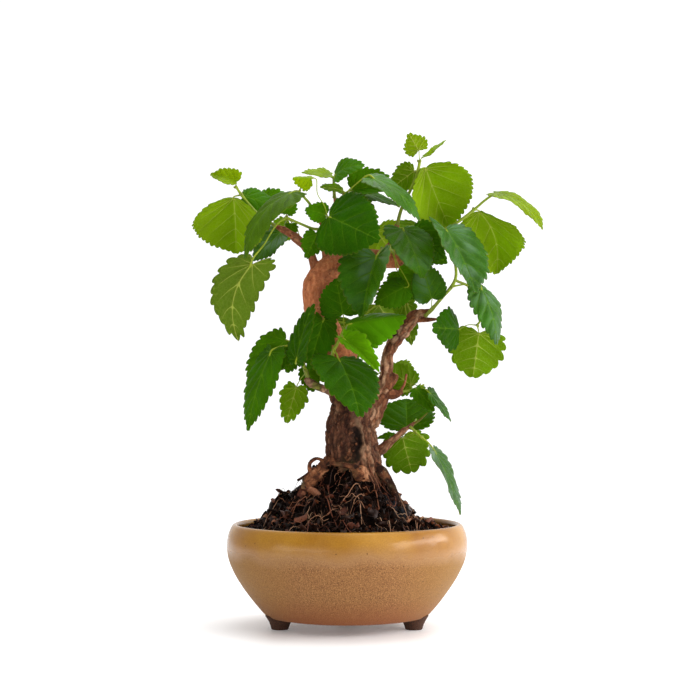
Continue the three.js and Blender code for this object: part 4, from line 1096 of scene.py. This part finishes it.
# Mulberry bark: old wood is dull grey-brown in fissured plates, dark in the cracks, with grey-green lichen low
# down; young wood is smooth reddish brown with pale breathing pores; roots are redder; cut ends are tan.
def barkMaterial():
    material, add, place = newMaterial("fissured_mulberry_bark")
    keys = ("age", "crack", "plate", "wound", "callus", "cut", "root", "tone", "green")
    value = {key: add("Attribute", attribute_name=key, output="Fac") for key in keys}
    grain = add("TexNoise", place, Scale=420.0, Detail=6.0, Roughness=0.62)  # 2.4 mm and finer
    broad = add("TexNoise", place, Scale=95.0, Detail=3.0)  # 10 mm
    streak = add("Mapping", place, Scale=(1.0, 1.0, 0.3))
    streak = add("TexNoise", streak, Scale=600.0, Detail=4.0, Roughness=0.6)  # 1.6 mm across
    speck = add("TexVoronoi", place, Scale=520.0)
    scar = add("TexVoronoi", place, Scale=190.0)  # 5 mm apart
    # The old bark follows the plate value, which carries the painted light on the trunk's right side.
    old = add("ValToRGB", value["plate"], stops=[
        (0.0, "#331a0f"), (0.28, "#512d1d"), (0.56, "#794f38"), (0.8, "#a0795c"), (1.0, "#c49d7d"),
    ])
    young = add("ValToRGB", streak, stops=[(0.3, "#9c5836"), (0.5, "#b66c45"), (0.7, "#c98358")])
    skin = add("MixRGB", value["age"], young, old)
    grainyTone = add("Math", grain, 0.6, value["tone"], operation="MULTIPLY_ADD")
    rootSkin = add("ValToRGB", grainyTone, stops=[
        (0.28, "#2c170e"), (0.48, "#5c3421"), (0.72, "#935c3b"), (1.0, "#c08863"),
    ])
    skin = add("MixRGB", value["root"], skin, rootSkin)
    worn = add("MapRange", grain, 0.34, 0.66, 0.6, 1.45)
    wornShare = add("MapRange", value["age"], 0.0, 1.0, 0.4, 1.0)
    skin = add("MixRGB", wornShare, skin, worn, blend_type="MULTIPLY")
    greenPatches = add("Math", value["green"], grain, 0.1, operation="MULTIPLY_ADD")
    height = add("SeparateXYZ", place, output=2)
    low = add("MapRange", height, 0.096, 0.108, 1.0, 0.0)
    lichenSpots = add("MapRange", broad, 0.52, 0.64, 0.0, 0.35)
    split = add("ValToRGB", grain, stops=[(0.35, "#5a3216"), (0.5, "#8a5630"), (0.65, "#c39a6c")])
    for share, tone in (
        (add("MapRange", broad, 0.5, 0.68, 0.0, 0.35), "#7a4630"),  # reddish patches
        (add("MapRange", speck, 0.08, 0.2, 0.5, 0.0), "#a98d70"),  # pores
        (add("MapRange", scar, 0.06, 0.14, 0.75, 0.0), "#3c1e12"),  # small dark scars
        (add("MapRange", greenPatches, 0.25, 0.5, 0.0, 0.85), "#6f7a24"),
        (add("Math", value["crack"], 0.62, operation="MULTIPLY"), "#20130e"),
        # painted shade in the wound's dent
        (value["wound"], "#1d120d"),
        (add("Math", value["callus"], 0.6, operation="MULTIPLY"), "#8a6b52"),
        (value["cut"], split),
        (add("Math", low, lichenSpots, operation="MULTIPLY"), "#6f6a48"),
    ):
        skin = add("MixRGB", share, skin, tone)
    addBody(add, skin, grain, 1.0, 0.0011, Roughness=0.8, IOR=1.45, Specular_IOR_Level=0.2)
    return material


makeWood()


# The bowl: a turned profile as [radius, height], outside from the base to the lip and then down the inside,
# on three feet. The feet's angles are from the front.
pot = {
    "outside": [
        [7.6, 6.5], [44, 6.5], [48.5, 6.9], [52, 8.8], [60.5, 19], [68.6, 31], [73.4, 41.5], [74.9, 50],
        [74.3, 56.5], [72.9, 60.6], [71.4, 63.2], [69.8, 64],
    ],
    "lip": [69.1, 63.8],
    "inside": [
        [68.4, 63.3], [67.9, 61.8], [68.4, 57], [69.6, 48], [66, 36], [56, 20.5], [46, 11.5], [7.6, 11.5],
    ],
    "drainEdges": [[7, 7.2], [7, 10.9]],
    "sides": 192,
    "rows": [92, 44],
    "feet": [-70, 70, 180],
    "footRing": 43.8,
    "footProfile": [
        [0, 0], [4.7, 0], [5.3, 0.5], [5.9, 2.4], [6.9, 4.8], [8.0, 6.6], [8.6, 7.6], [8.6, 8.8], [0, 9.4],
    ],
}


# A turned surface: each profile point goes round the axis in a circle. Points are numbered circle by circle.
def turned(profile, sides, centre=(0, 0)):
    profile = np.asarray(profile, float)
    angle = ringAngles(sides)
    x = centre[0] + profile[:, :1] * np.cos(angle)
    y = centre[1] + profile[:, :1] * np.sin(angle)
    z = np.broadcast_to(profile[:, 1:], x.shape)
    return np.stack([x, y, z], -1).reshape(-1, 3)


def makePot():
    sides, edges = pot["sides"], pot["drainEdges"]
    outside, _ = curveThrough(pot["outside"][1:], pot["rows"][0], doubled=True)
    inside, _ = curveThrough(pot["inside"][:-1], pot["rows"][1], doubled=True)
    over, _ = curveThrough([pot["outside"][-1], pot["lip"], pot["inside"][0]], 5)
    outer = np.vstack([edges[0], pot["outside"][0], outside, over[1:-1]])
    profile = np.vstack([outer, inside, pot["inside"][-1], edges[1]])
    points = turned(profile, sides, (potAxis, 0))
    j = np.arange(sides)
    k = (j + 1) % sides
    last = (len(profile) - 1) * sides
    closing = [np.stack([last + j, last + k, k], 1), np.stack([last + j, k, j], 1)]
    faces = np.concatenate([gridFaces(len(profile), sides, True), *closing])
    isOutside = np.arange(len(points)) < len(outer) * sides
    # The throwing left slow waves in the wall, which fade towards the base.
    spokes = unit((points - [potAxis, 0, 0]) * [1, 1, 0])
    move = 0.25 * noise(points, 30, 3) + 0.05 * roughNoise(points, 3, 2, 5)
    points = points + spokes * (move * isOutside * ease(points[:, 2], 8, 14))[:, None]
    parts = [{"points": points, "faces": faces, "inside": (~isOutside).astype(float)}]
    profile, _ = curveThrough(pot["footProfile"], 40, doubled=True)
    for degrees in pot["feet"]:
        turn = math.radians(degrees)
        centre = (potAxis + pot["footRing"] * math.sin(turn), -pot["footRing"] * math.cos(turn))
        foot = turned(profile, 48, centre)
        foot[:, 2] = np.clip(foot[:, 2], 0, pot["footProfile"][-1][1])
        uneven = np.column_stack([0.18 * noise(foot, 6, 3), 0.18 * noise(foot, 6, 4), 0 * foot[:, 2]])
        foot += uneven * ease(foot[:, 2], 0, 2)[:, None]
        part = welded({"points": foot, "faces": gridFaces(len(profile), 48, True)})
        parts.append({**part, "foot": np.ones(len(part["points"]))})
    makePiece("stoneware_bowl", parts, [stonewareMaterial()], ["pot"])
    print("pot made")


# Stoneware, thrown and fired: a glossy golden ochre glaze runs from the lip to under the shoulder and ends in
# a soft uneven edge; below it the dry clay is tan and speckled like fine sand; the feet and inside are brown.
def stonewareMaterial():
    material, add, place = newMaterial("ochre_glaze_over_stoneware")
    height = add("SeparateXYZ", place, output=2)
    inside = add("Attribute", attribute_name="inside", output="Fac")
    foot = add("Attribute", attribute_name="foot", output="Fac")
    run = add("TexNoise", place, Scale=45.0, Detail=3.0)  # drips 20 mm apart
    edge = add("Math", run, -0.016, height, operation="MULTIPLY_ADD")
    # With the drips at their middle, the glaze begins 41 mm up and is whole at 51 mm.
    glaze = add("MapRange", edge, 0.033, 0.043, 0.0, 1.0, interpolation_type="SMOOTHSTEP")
    grain = add("TexNoise", place, Scale=1700.0, Detail=2.0)  # 0.6 mm sand
    fine = add("TexVoronoi", place, Scale=1100.0)
    specks = add("TexVoronoi", place, Scale=330.0)  # 3 mm apart
    cloud = add("TexNoise", place, Scale=28.0, Detail=3.0)

    # The bare clay, redder at the foot of the wall, yellower towards its left and right sides, and with dark
    # points.
    clay = add("ValToRGB", grain, stops=[
        (0.3, "#5c381e"), (0.45, "#835730"), (0.58, "#976a3c"), (0.75, "#b5864f"),
    ])
    clay = add("MixRGB", add("MapRange", height, 0.008, 0.024, 0.75, 0.0), clay, "#864a28")
    sideways = add("Math", add("SeparateXYZ", place), 0.001 * potAxis, operation="SUBTRACT")
    sideways = add("Math", sideways, operation="ABSOLUTE")
    clay = add("MixRGB", add("MapRange", sideways, 0.028, 0.066, 0.0, 0.65), clay, "#8c6522")
    clay = add("MixRGB", add("MapRange", fine, 0.12, 0.3, 0.3, 0.0), clay, "#5a3820")

    # The glaze, thinner and paler at its lower edge, over the same sand.
    glazed = add("ValToRGB", cloud, stops=[(0.3, "#8b5916"), (0.5, "#9b6a1c"), (0.7, "#ab7a27")])
    thin = add("MapRange", edge, 0.036, 0.053, 0.8, 0.0, interpolation_type="SMOOTHSTEP")
    glazed = add("MixRGB", thin, glazed, "#9a7350")
    sand = add("MapRange", grain, 0.3, 0.7, 0.86, 1.12)
    glazed = add("MixRGB", 1.0, glazed, sand, blend_type="MULTIPLY")
    colour = add("MixRGB", glaze, clay, glazed)

    # A few dark specks of different sizes, and the unglazed feet and inside; the glaze goes over the lip.
    speckSize = add("SeparateColor", specks.node.outputs["Color"])
    rare = add("MapRange", speckSize, 0.72, 1.0, 0.0, 0.17)
    dark = add("Math", specks, rare, operation="LESS_THAN")
    colour = add("MixRGB", add("Math", dark, 0.7, operation="MULTIPLY"), colour, "#4a2a16")
    bare = add("ValToRGB", grain, stops=[(0.3, "#33201a"), (0.7, "#54372a")])
    deepDown = add("MapRange", height, 0.05, 0.057, 1.0, 0.0)
    bareShare = add("Math", add("Math", inside, deepDown, operation="MULTIPLY"), foot, operation="MAXIMUM")
    colour = add("MixRGB", bareShare, colour, bare)
    gloss = add("MapRange", glaze, 0.0, 1.0, 0.6, 0.22)
    rough = add("Math", gloss, bareShare, operation="MAXIMUM")
    rough = add("Math", rough, 0.85, operation="MINIMUM")
    relief = add("MapRange", glaze, 0.0, 1.0, 0.45, 0.12)
    addBody(
        add, colour, grain, relief, 0.0003, Roughness=rough, IOR=1.5, Specular_IOR_Level=0.46,
        Specular_Tint="#ead6c4",
    )
    return material


makePot()


# Moulded plastic drain mesh, dull near-black with a fine texture and dust of soil.
def drainMaterial():
    material, add, place = newMaterial("moulded_black_plastic_mesh")
    dust = add("TexNoise", place, Scale=260.0, Detail=4.0)
    colour = add("ValToRGB", dust, stops=[(0.45, "#17191a"), (0.7, "#3b2a20")])
    addBody(add, colour, dust, 0.3, 0.0002, Roughness=0.55, IOR=1.49)
    return material


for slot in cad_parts["drain_mesh"].material_slots:
    slot.material = drainMaterial()


# The soil fills the bowl and rises in a mound round the trunk: heights of the mound by radius.
soil = {
    "mound": [
        [0, 98], [17, 97], [23, 90], [29, 83.5], [35, 78.5], [40, 73], [44, 67.5], [49, 64.5], [56, 63.2],
        [62, 61.5],
    ],
    "moundCentre": -3,
    "wallRadius": 66.75,
    "edgeRadius": 66.7,
    "under": [
        [66.6, 58], [67.0, 56], [68.2, 48], [64.8, 36.3], [54.6, 21], [45, 12.3], [22, 12.3], [0.001, 12.3],
    ],
    "rings": 140,
    "sectors": 288,
    "crumbs": 3400,
    "fibres": 760,
    "rootlets": 56,
    "chips": 300,
    "curls": 210,
    "curlsOnClump": 45,
    "strands": 64,
    "seed": 11,
    "blueStone": [34, -20, 79],
}
soilRandom = np.random.default_rng(soil["seed"])
uniform = soilRandom.uniform


# The surface's height: the mound's height at the radius, plus a clump on the left and less on the right, plus
# slow lumps, plus rough clods that fade at the wall, less a drop near the wall.
def soilHeight(x, y, clods=True):
    x = x - potAxis
    radius = np.hypot(x, y)
    shifted = np.hypot(x - soil["moundCentre"] * np.maximum(0, 1 - radius / soil["wallRadius"]), y)
    height = np.interp(shifted, *np.transpose(soil["mound"]))
    lumps = np.sin(0.31 * x + 1.3) * np.cos(0.27 * y + 0.4) + 0.7 * np.sin(0.53 * x - 0.41 * y)
    lumps = lumps + 0.5 * np.cos(0.62 * y + 0.35 * x + 2)
    inward = ease(soil["wallRadius"] - radius, 1, 14)
    clump = 9 * np.exp(-(((x + 43) / 6) ** 2) - ((y + 3) / 9) ** 2)
    fall = 4 * np.exp(-(((x - 44) / 8) ** 2) - (y / 26) ** 2)
    height = height + clump - fall + lumps * (0.35 + 1.1 * inward)
    if clods:
        place = np.stack([x, y, height], -1)
        height = height + (0.5 + 1.5 * inward) * roughNoise(place, 6.5, 3, 70)
        height = height + 0.7 * np.abs(noise(place, 2.2, 80))
    return height - 2.4 * ease(radius, 50, 62)


# Points on the soil at polar places round the pot's axis, and which way is up there.
def onSoil(radius, angle):
    x, y = potAxis + radius * np.cos(angle), radius * np.sin(angle)
    step = 1.5
    slopeX = (soilHeight(x + step, y, False) - soilHeight(x - step, y, False)) / (2 * step)
    slopeY = (soilHeight(x, y + step, False) - soilHeight(x, y - step, False)) / (2 * step)
    return np.stack([x, y, soilHeight(x, y)], -1), unit(np.stack([-slopeX, -slopeY, np.ones_like(x)], -1))


# Thin tubes along their own paths, each with its own mark, whose radii shrink by a share along them.
def thinTubes(paths, radii, shrink, sides, marks):
    heading = unit(np.gradient(paths, axis=1))
    normal = unit(np.cross(heading, np.array([0.13, 0.21, 1.0])))
    radii = radii * (1 - shrink * np.linspace(0, 1, paths.shape[1]))
    part = tubes(paths, radii, sides, [heading, normal, np.cross(heading, normal)], 1)
    return {**part, "mark": np.repeat(marks, len(part["points"]) // len(paths))}


# Copies of a small closed shape, [points, faces]: each is scaled along its own axes, turned by a random
# rotation (as a matrix from a random unit quaternion) and placed.
def scattered(shape, places, sizes, jitter):
    base, faces = shape
    count = len(places)
    a, b, c, d = unit(soilRandom.normal(size=(count, 4))).T
    turn = np.stack([
        1 - 2 * (c * c + d * d), 2 * (b * c - d * a), 2 * (b * d + c * a),
        2 * (b * c + d * a), 1 - 2 * (b * b + d * d), 2 * (c * d - b * a),
        2 * (b * d - c * a), 2 * (c * d + b * a), 1 - 2 * (b * b + c * c),
    ], -1).reshape(-1, 3, 3)
    shapes = base[None] * (1 + jitter * uniform(-1, 1, (count, len(base), 1))) * sizes[:, None]
    points = np.einsum("nij,nvj->nvi", turn, shapes) + places[:, None]
    allFaces = faces[None] + np.arange(count)[:, None, None] * len(base)
    return {"points": points.reshape(-1, 3), "faces": allFaces.reshape(-1, 3)}


# A crumb is an icosahedron before it is scaled.
def crumbShape():
    golden = (1 + 5**0.5) / 2
    points = np.array([
        [-1, golden, 0], [1, golden, 0], [-1, -golden, 0], [1, -golden, 0], [0, -1, golden], [0, 1, golden],
        [0, -1, -golden], [0, 1, -golden], [golden, 0, -1], [golden, 0, 1], [-golden, 0, -1], [-golden, 0, 1],
    ])
    faces = np.array([
        [0, 11, 5], [0, 5, 1], [0, 1, 7], [0, 7, 10], [0, 10, 11], [1, 5, 9], [5, 11, 4], [11, 10, 2],
        [10, 7, 6], [7, 1, 8], [3, 9, 4], [3, 4, 2], [3, 2, 6], [3, 6, 8], [3, 8, 9], [4, 9, 5], [2, 4, 11],
        [6, 2, 10], [8, 6, 7], [9, 8, 1],
    ])
    return unit(points), faces


# A curl is a plate bent round a circle's arc, narrower at its ends, with an inner and an outer sheet.
def curlShape():
    u, v = np.meshgrid(np.linspace(-1, 1, 7), np.linspace(-1, 1, 3))
    arc = 1.3 * u
    plate = np.stack([np.sin(arc), v * (1 - 0.25 * u**2), 1 - np.cos(arc)], -1).reshape(-1, 3)
    sheet = gridFaces(3, 7)
    rim = np.concatenate([np.arange(7), [13, 20], np.arange(19, 13, -1), [7, 0]])
    faces = np.concatenate([sheet, sheet[:, ::-1] + 21, stripFaces(rim, rim + 21)])
    return np.concatenate([plate * [1, 1, 0.86] + [0, 0, 0.14], plate]), faces


# The soil's own body: a grid of rings that follows the surface, then goes down the wall and over the floor.
def soilBody():
    radius = np.linspace(0, 1, soil["rings"]) ** 0.8 * soil["edgeRadius"]
    angle = ringAngles(soil["sectors"])
    x = potAxis + radius[:, None] * np.cos(angle)
    y = radius[:, None] * np.sin(angle)
    z = soilHeight(x, y)
    z = z + (58.6 - z) * ease(radius, 64.5, 66.7)[:, None]
    under = turned(soil["under"], soil["sectors"], (potAxis, 0))
    points = np.concatenate([np.stack([x, y, z], -1).reshape(-1, 3), under])
    faces = gridFaces(soil["rings"] + len(soil["under"]), soil["sectors"], True)
    # Painted shade: the gaps between the clods are darker, and so is the soil near the trunk, under the root
    # ring.
    hollow = roughNoise(points, 6.5, 3, 70)  # the same clods as in the height, so that the gaps are darker
    shade = 0.12 * (1 - ease(np.hypot(points[:, 0] - potAxis, points[:, 1]), 20, 32))
    mark = 0.25 + 0.3 * hollow + 0.2 * noise(points, 2.0, 90) - shade
    return welded({"points": points, "faces": faces, "mark": mark})


# Paths on the soil: each turns slowly by a random amount, stays in the bowl and bows up between its ends.
def wander(count, steps, length, radius, turning, arch):
    t = np.linspace(0, 1, steps)
    start = 2 * np.pi * uniform(0, 1, count)
    heading = 2 * np.pi * uniform(0, 1, (count, 1)) + turning * soilRandom.normal(size=(count, 1)) * t
    sway = 0.6 * turning * soilRandom.normal(size=(count, 1))
    heading = heading + sway * np.sin(5 * t + uniform(0, 6, (count, 1)))
    step = length[:, None] / steps
    x = potAxis + (radius * np.cos(start))[:, None] + np.cumsum(np.cos(heading) * step, 1)
    y = (radius * np.sin(start))[:, None] + np.cumsum(np.sin(heading) * step, 1)
    reach = np.hypot(x - potAxis, y)
    keep = np.clip(reach, 25, 64.6) / np.maximum(reach, 1)
    x, y = potAxis + (x - potAxis) * keep, y * keep
    lift = arch[:, None] * np.sin(np.pi * t) ** 0.7 * (1 + 0.4 * np.sin(9 * t + start[:, None]))
    return np.stack([x, y, soilHeight(x, y) + (lift - 0.5 * (1 - np.sin(np.pi * t)))], -1)


# Strands hang from the foot of the trunk over the big roots and lie down on the mound.
def hangingPaths(count):
    t = np.linspace(0, 1, 16)
    centre = seen(trunkSpine[1][:3])
    angle = uniform(0, 2 * np.pi, (count, 1)) + 0.35 * soilRandom.normal(size=(count, 1)) * t
    angle = angle + 0.05 * np.sin(9 * t + uniform(0, 6, (count, 1)))
    radius = 16.5 + uniform(9, 20, (count, 1)) * t
    x, y = centre[0] + radius * np.cos(angle), centre[1] + radius * np.sin(angle)
    top = uniform(95, 102, (count, 1))
    ground = soilHeight(x, y)
    z = np.maximum(ground[:, -1:] + (top - ground[:, -1:]) * (1 - t) ** 1.5, ground + 0.3)
    return np.stack([x, y, z], -1)


def makeSoil():
    crumb, curl = crumbShape(), curlShape()
    count = soil["crumbs"]
    radius = 14 + 51.5 * uniform(0, 1, count) ** 0.6
    places, up = onSoil(radius, uniform(0, 2 * np.pi, count))
    size = 0.45 + 1.15 * uniform(0, 1, (count, 1)) ** 2.2
    sizes = size * uniform(0.65, 1.3, (count, 3))
    crumbs = scattered(crumb, places + up * size * 0.3, sizes, 0.22)
    # Painted shade: crumbs near the trunk, under the root ring, are darker; those on the right are lighter.
    mark = uniform(0, 1, count) ** 1.8 - 0.1 * (radius < 26) + 0.2 * ease(places[:, 0] - potAxis, 18, 40)
    crumbs["mark"] = np.repeat(mark, len(crumb[0]))
    makePiece("peat_soil", [soilBody(), crumbs], [peatMaterial()], ["soil"])

    # Chips of bark and wood, thin and angular.
    count = soil["chips"]
    radius = 25 + 40 * np.sqrt(uniform(0, 1, count))
    places, up = onSoil(radius, uniform(0, 2 * np.pi, count))
    sizes = np.stack([uniform(1.2, 3.6, count), uniform(0.7, 1.7, count), uniform(0.25, 0.6, count)], 1)
    chips = scattered(crumb, places + up * 0.5, sizes, 0.18)
    chips["mark"] = np.repeat(uniform(0, 0.95, count) ** 2.4, len(crumb[0]))

    # Curled pieces of bark, standing at any angle; many lie on the clump on the left.
    count, onClump = soil["curls"], soil["curlsOnClump"]
    radius = 26 + 30 * uniform(0, 1, count) ** 0.9
    angle = uniform(0, 2 * np.pi, count)
    radius[:onClump] = uniform(38, 52, onClump)
    angle[:onClump] = np.pi + 0.4 * soilRandom.normal(size=onClump)
    places, up = onSoil(radius, angle)
    sizes = np.stack([uniform(1.2, 2.4, count) ** 1.9, uniform(0.8, 2.8, count), uniform(0.8, 2.6, count)], 1)
    curls = scattered(curl, places + up * uniform(0.2, 1.6, (count, 1)), sizes, 0.1)
    curls["mark"] = np.repeat(uniform(0, 0.9, count) ** 1.5, len(curl[0]))

    # Fine fibres, of which few are pale, longer and thicker rootlets, and the strands.
    count = soil["fibres"]
    lengths, radius = uniform(5, 19, count), 25 + 36 * uniform(0, 1, count) ** 0.8
    paths = wander(count, 10, lengths, radius, 1.2, uniform(0.3, 2.6, count))
    radii = uniform(0.1, 0.25, (count, 1))
    paleness = uniform(0, 1, count)
    fibres = thinTubes(paths, radii, 0.5, 4, np.where(paleness < 0.84, 0.55 * paleness, paleness))
    count = soil["rootlets"]
    lengths, radius = uniform(20, 44, count), 27 + 24 * uniform(0, 1, count)
    paths = wander(count, 26, lengths, radius, 0.55, uniform(1.4, 4.4, count))
    rootlets = thinTubes(paths, uniform(0.2, 0.38, (count, 1)), 0.6, 6, uniform(0.45, 1, count))
    count = soil["strands"]
    paths = hangingPaths(count)
    strands = thinTubes(paths, uniform(0.14, 0.42, (count, 1)), 0.5, 5, uniform(0.15, 0.85, count))
    makePiece("root_fibres", [fibres, rootlets, chips, curls, strands], [fibreMaterial()])
    print("soil made")


# Damp peat soil: nearly black brown crumbs with a reddish cast, rough and broken up at every scale, and one
# blue-grey stony patch.
def peatMaterial():
    material, add, place = newMaterial("damp_peat_soil")
    mark = add("Attribute", attribute_name="mark", output="Fac")
    grain = add("TexNoise", place, Scale=900.0, Detail=5.0, Roughness=0.7)  # 1 mm crumbs
    mixed = add("Math", grain, 0.6, mark, operation="MULTIPLY_ADD")
    mixed = add("Math", mixed, 0.7, operation="MULTIPLY")
    colour = add("ValToRGB", mixed, stops=[
        (0.25, "#080403"), (0.55, "#150b07"), (0.77, "#321810"), (0.98, "#713f27"),
    ])
    stone = np.array(soil["blueStone"]) + [potAxis, 0, 0]
    away = add("VectorMath", place, 0.001 * stone, operation="DISTANCE", output="Value")
    colour = add("MixRGB", add("MapRange", away, 0.004, 0.013, 0.6, 0.0), colour, "#3c444c")
    addBody(add, colour, grain, 1.0, 0.0009, Roughness=0.85, IOR=1.4, Specular_IOR_Level=0.04)
    return material


# Dead and living root fibre: wiry, from dark to reddish brown with a few straw-coloured ones.
def fibreMaterial():
    material, add, place = newMaterial("reddish_root_fibre")
    mark = add("Attribute", attribute_name="mark", output="Fac")
    grain = add("TexNoise", place, Scale=700.0, Detail=3.0)
    colour = add("ValToRGB", mark, stops=[
        (0.0, "#150c08"), (0.4, "#31190f"), (0.65, "#66321e"), (0.82, "#925f43"), (1.0, "#c09a7a"),
    ])
    colour = add("MixRGB", 1.0, colour, add("MapRange", grain, 0.3, 0.7, 0.7, 1.25), blend_type="MULTIPLY")
    addBody(add, colour, grain, 0.6, 0.0003, Roughness=0.5, IOR=1.45, Specular_IOR_Level=0.25)
    return material


makeSoil()


# A plain white floor that glows a little, a white surround that is brighter behind, above and on the right, a
# long soft light on the right, a narrow one in front on the left, a broad one above and a wide sun.
studio = {
    "floorHalf": 6.0,
    "floorColour": "#f2f1f1",
    "floorGlow": 0.14,
    "surround": {"middle": 0.76, "towards": [0.52, 0.38, 0.26], "least": 0.15},
    "aim": [0, 0, 0.15],
    "lights": [
        {"place": [1.0, -0.22, 0.4], "size": [1.3, 0.3], "power": 10.0},
        {"place": [-0.85, -0.95, 0.22], "size": [1.3, 0.03], "power": 2.4},
        {"place": [0.2, 0.35, 1.5], "size": [1.2, 1.2], "power": 9.0},
    ],
    "sun": {"strength": 0.5, "spreadDegrees": 60, "turnDegrees": [24, 0, 45]},
}


def makeStudio():
    half = studio["floorHalf"]
    mesh = bpy.data.meshes.new("floor")
    corners = [(-half, -half, 0), (half, -half, 0), (half, half, 0), (-half, half, 0)]
    mesh.from_pydata(corners, [], [(0, 1, 2, 3)])
    material, add, _ = newMaterial("matt_white_card")
    body = add(
        "BsdfPrincipled", Base_Color=studio["floorColour"], Roughness=0.42, Specular_IOR_Level=0.3,
        Emission_Color="#ffffff", Emission_Strength=studio["floorGlow"],
    )
    add("OutputMaterial", body)
    mesh.materials.append(material)
    newObject("floor", mesh)

    world = bpy.data.worlds.new("whiteSurround")
    world.use_nodes = True
    sky, surround = world.node_tree, studio["surround"]
    way = addNode(sky, "TexCoord", output="Generated")
    lean = addNode(sky, "VectorMath", way, surround["towards"], operation="DOT_PRODUCT", output="Value")
    strength = addNode(sky, "Math", lean, surround["middle"], operation="ADD")
    strength = addNode(sky, "Math", strength, surround["least"], operation="MAXIMUM")
    background = sky.nodes["Background"]
    background.inputs["Color"].default_value = (1, 1, 1, 1)
    sky.links.new(strength, background.inputs["Strength"])
    bpy.context.scene.world = world
    for number, settings in enumerate(studio["lights"]):
        light = bpy.data.lights.new(f"softLight{number}", "AREA")
        light.shape = "RECTANGLE"
        light.size, light.size_y = settings["size"]
        light.energy = settings["power"]
        lamp = newObject(light.name, light)
        lamp.location = settings["place"]
        aim = np.subtract(studio["aim"], settings["place"])
        tilt = math.acos(-aim[2] / np.linalg.norm(aim))
        lamp.rotation_euler = (tilt, 0, math.atan2(aim[1], aim[0]) - math.pi / 2)
    sun = bpy.data.lights.new("skylight", "SUN")
    sun.energy = studio["sun"]["strength"]
    sun.angle = math.radians(studio["sun"]["spreadDegrees"])
    lamp = newObject("skylight", sun)
    lamp.rotation_euler = [math.radians(angle) for angle in studio["sun"]["turnDegrees"]]
    bpy.context.scene.view_settings.view_transform = "Standard"


def makeCamera():
    lens = bpy.data.cameras.new("photoCamera")
    lens.lens = camera["lens"]
    lens.sensor_width = camera["sensor"]
    lens.clip_start = 0.05
    lens.clip_end = 50
    eye = newObject("photoCamera", lens)
    eye.location = ((potAxis + camera["across"]) * 0.001, -camera["back"] * 0.001, camera["height"] * 0.001)
    eye.rotation_euler = (math.radians(90 + camera["tiltDegrees"]), 0, 0)
    bpy.context.scene.camera = eye


makeStudio()
makeCamera()
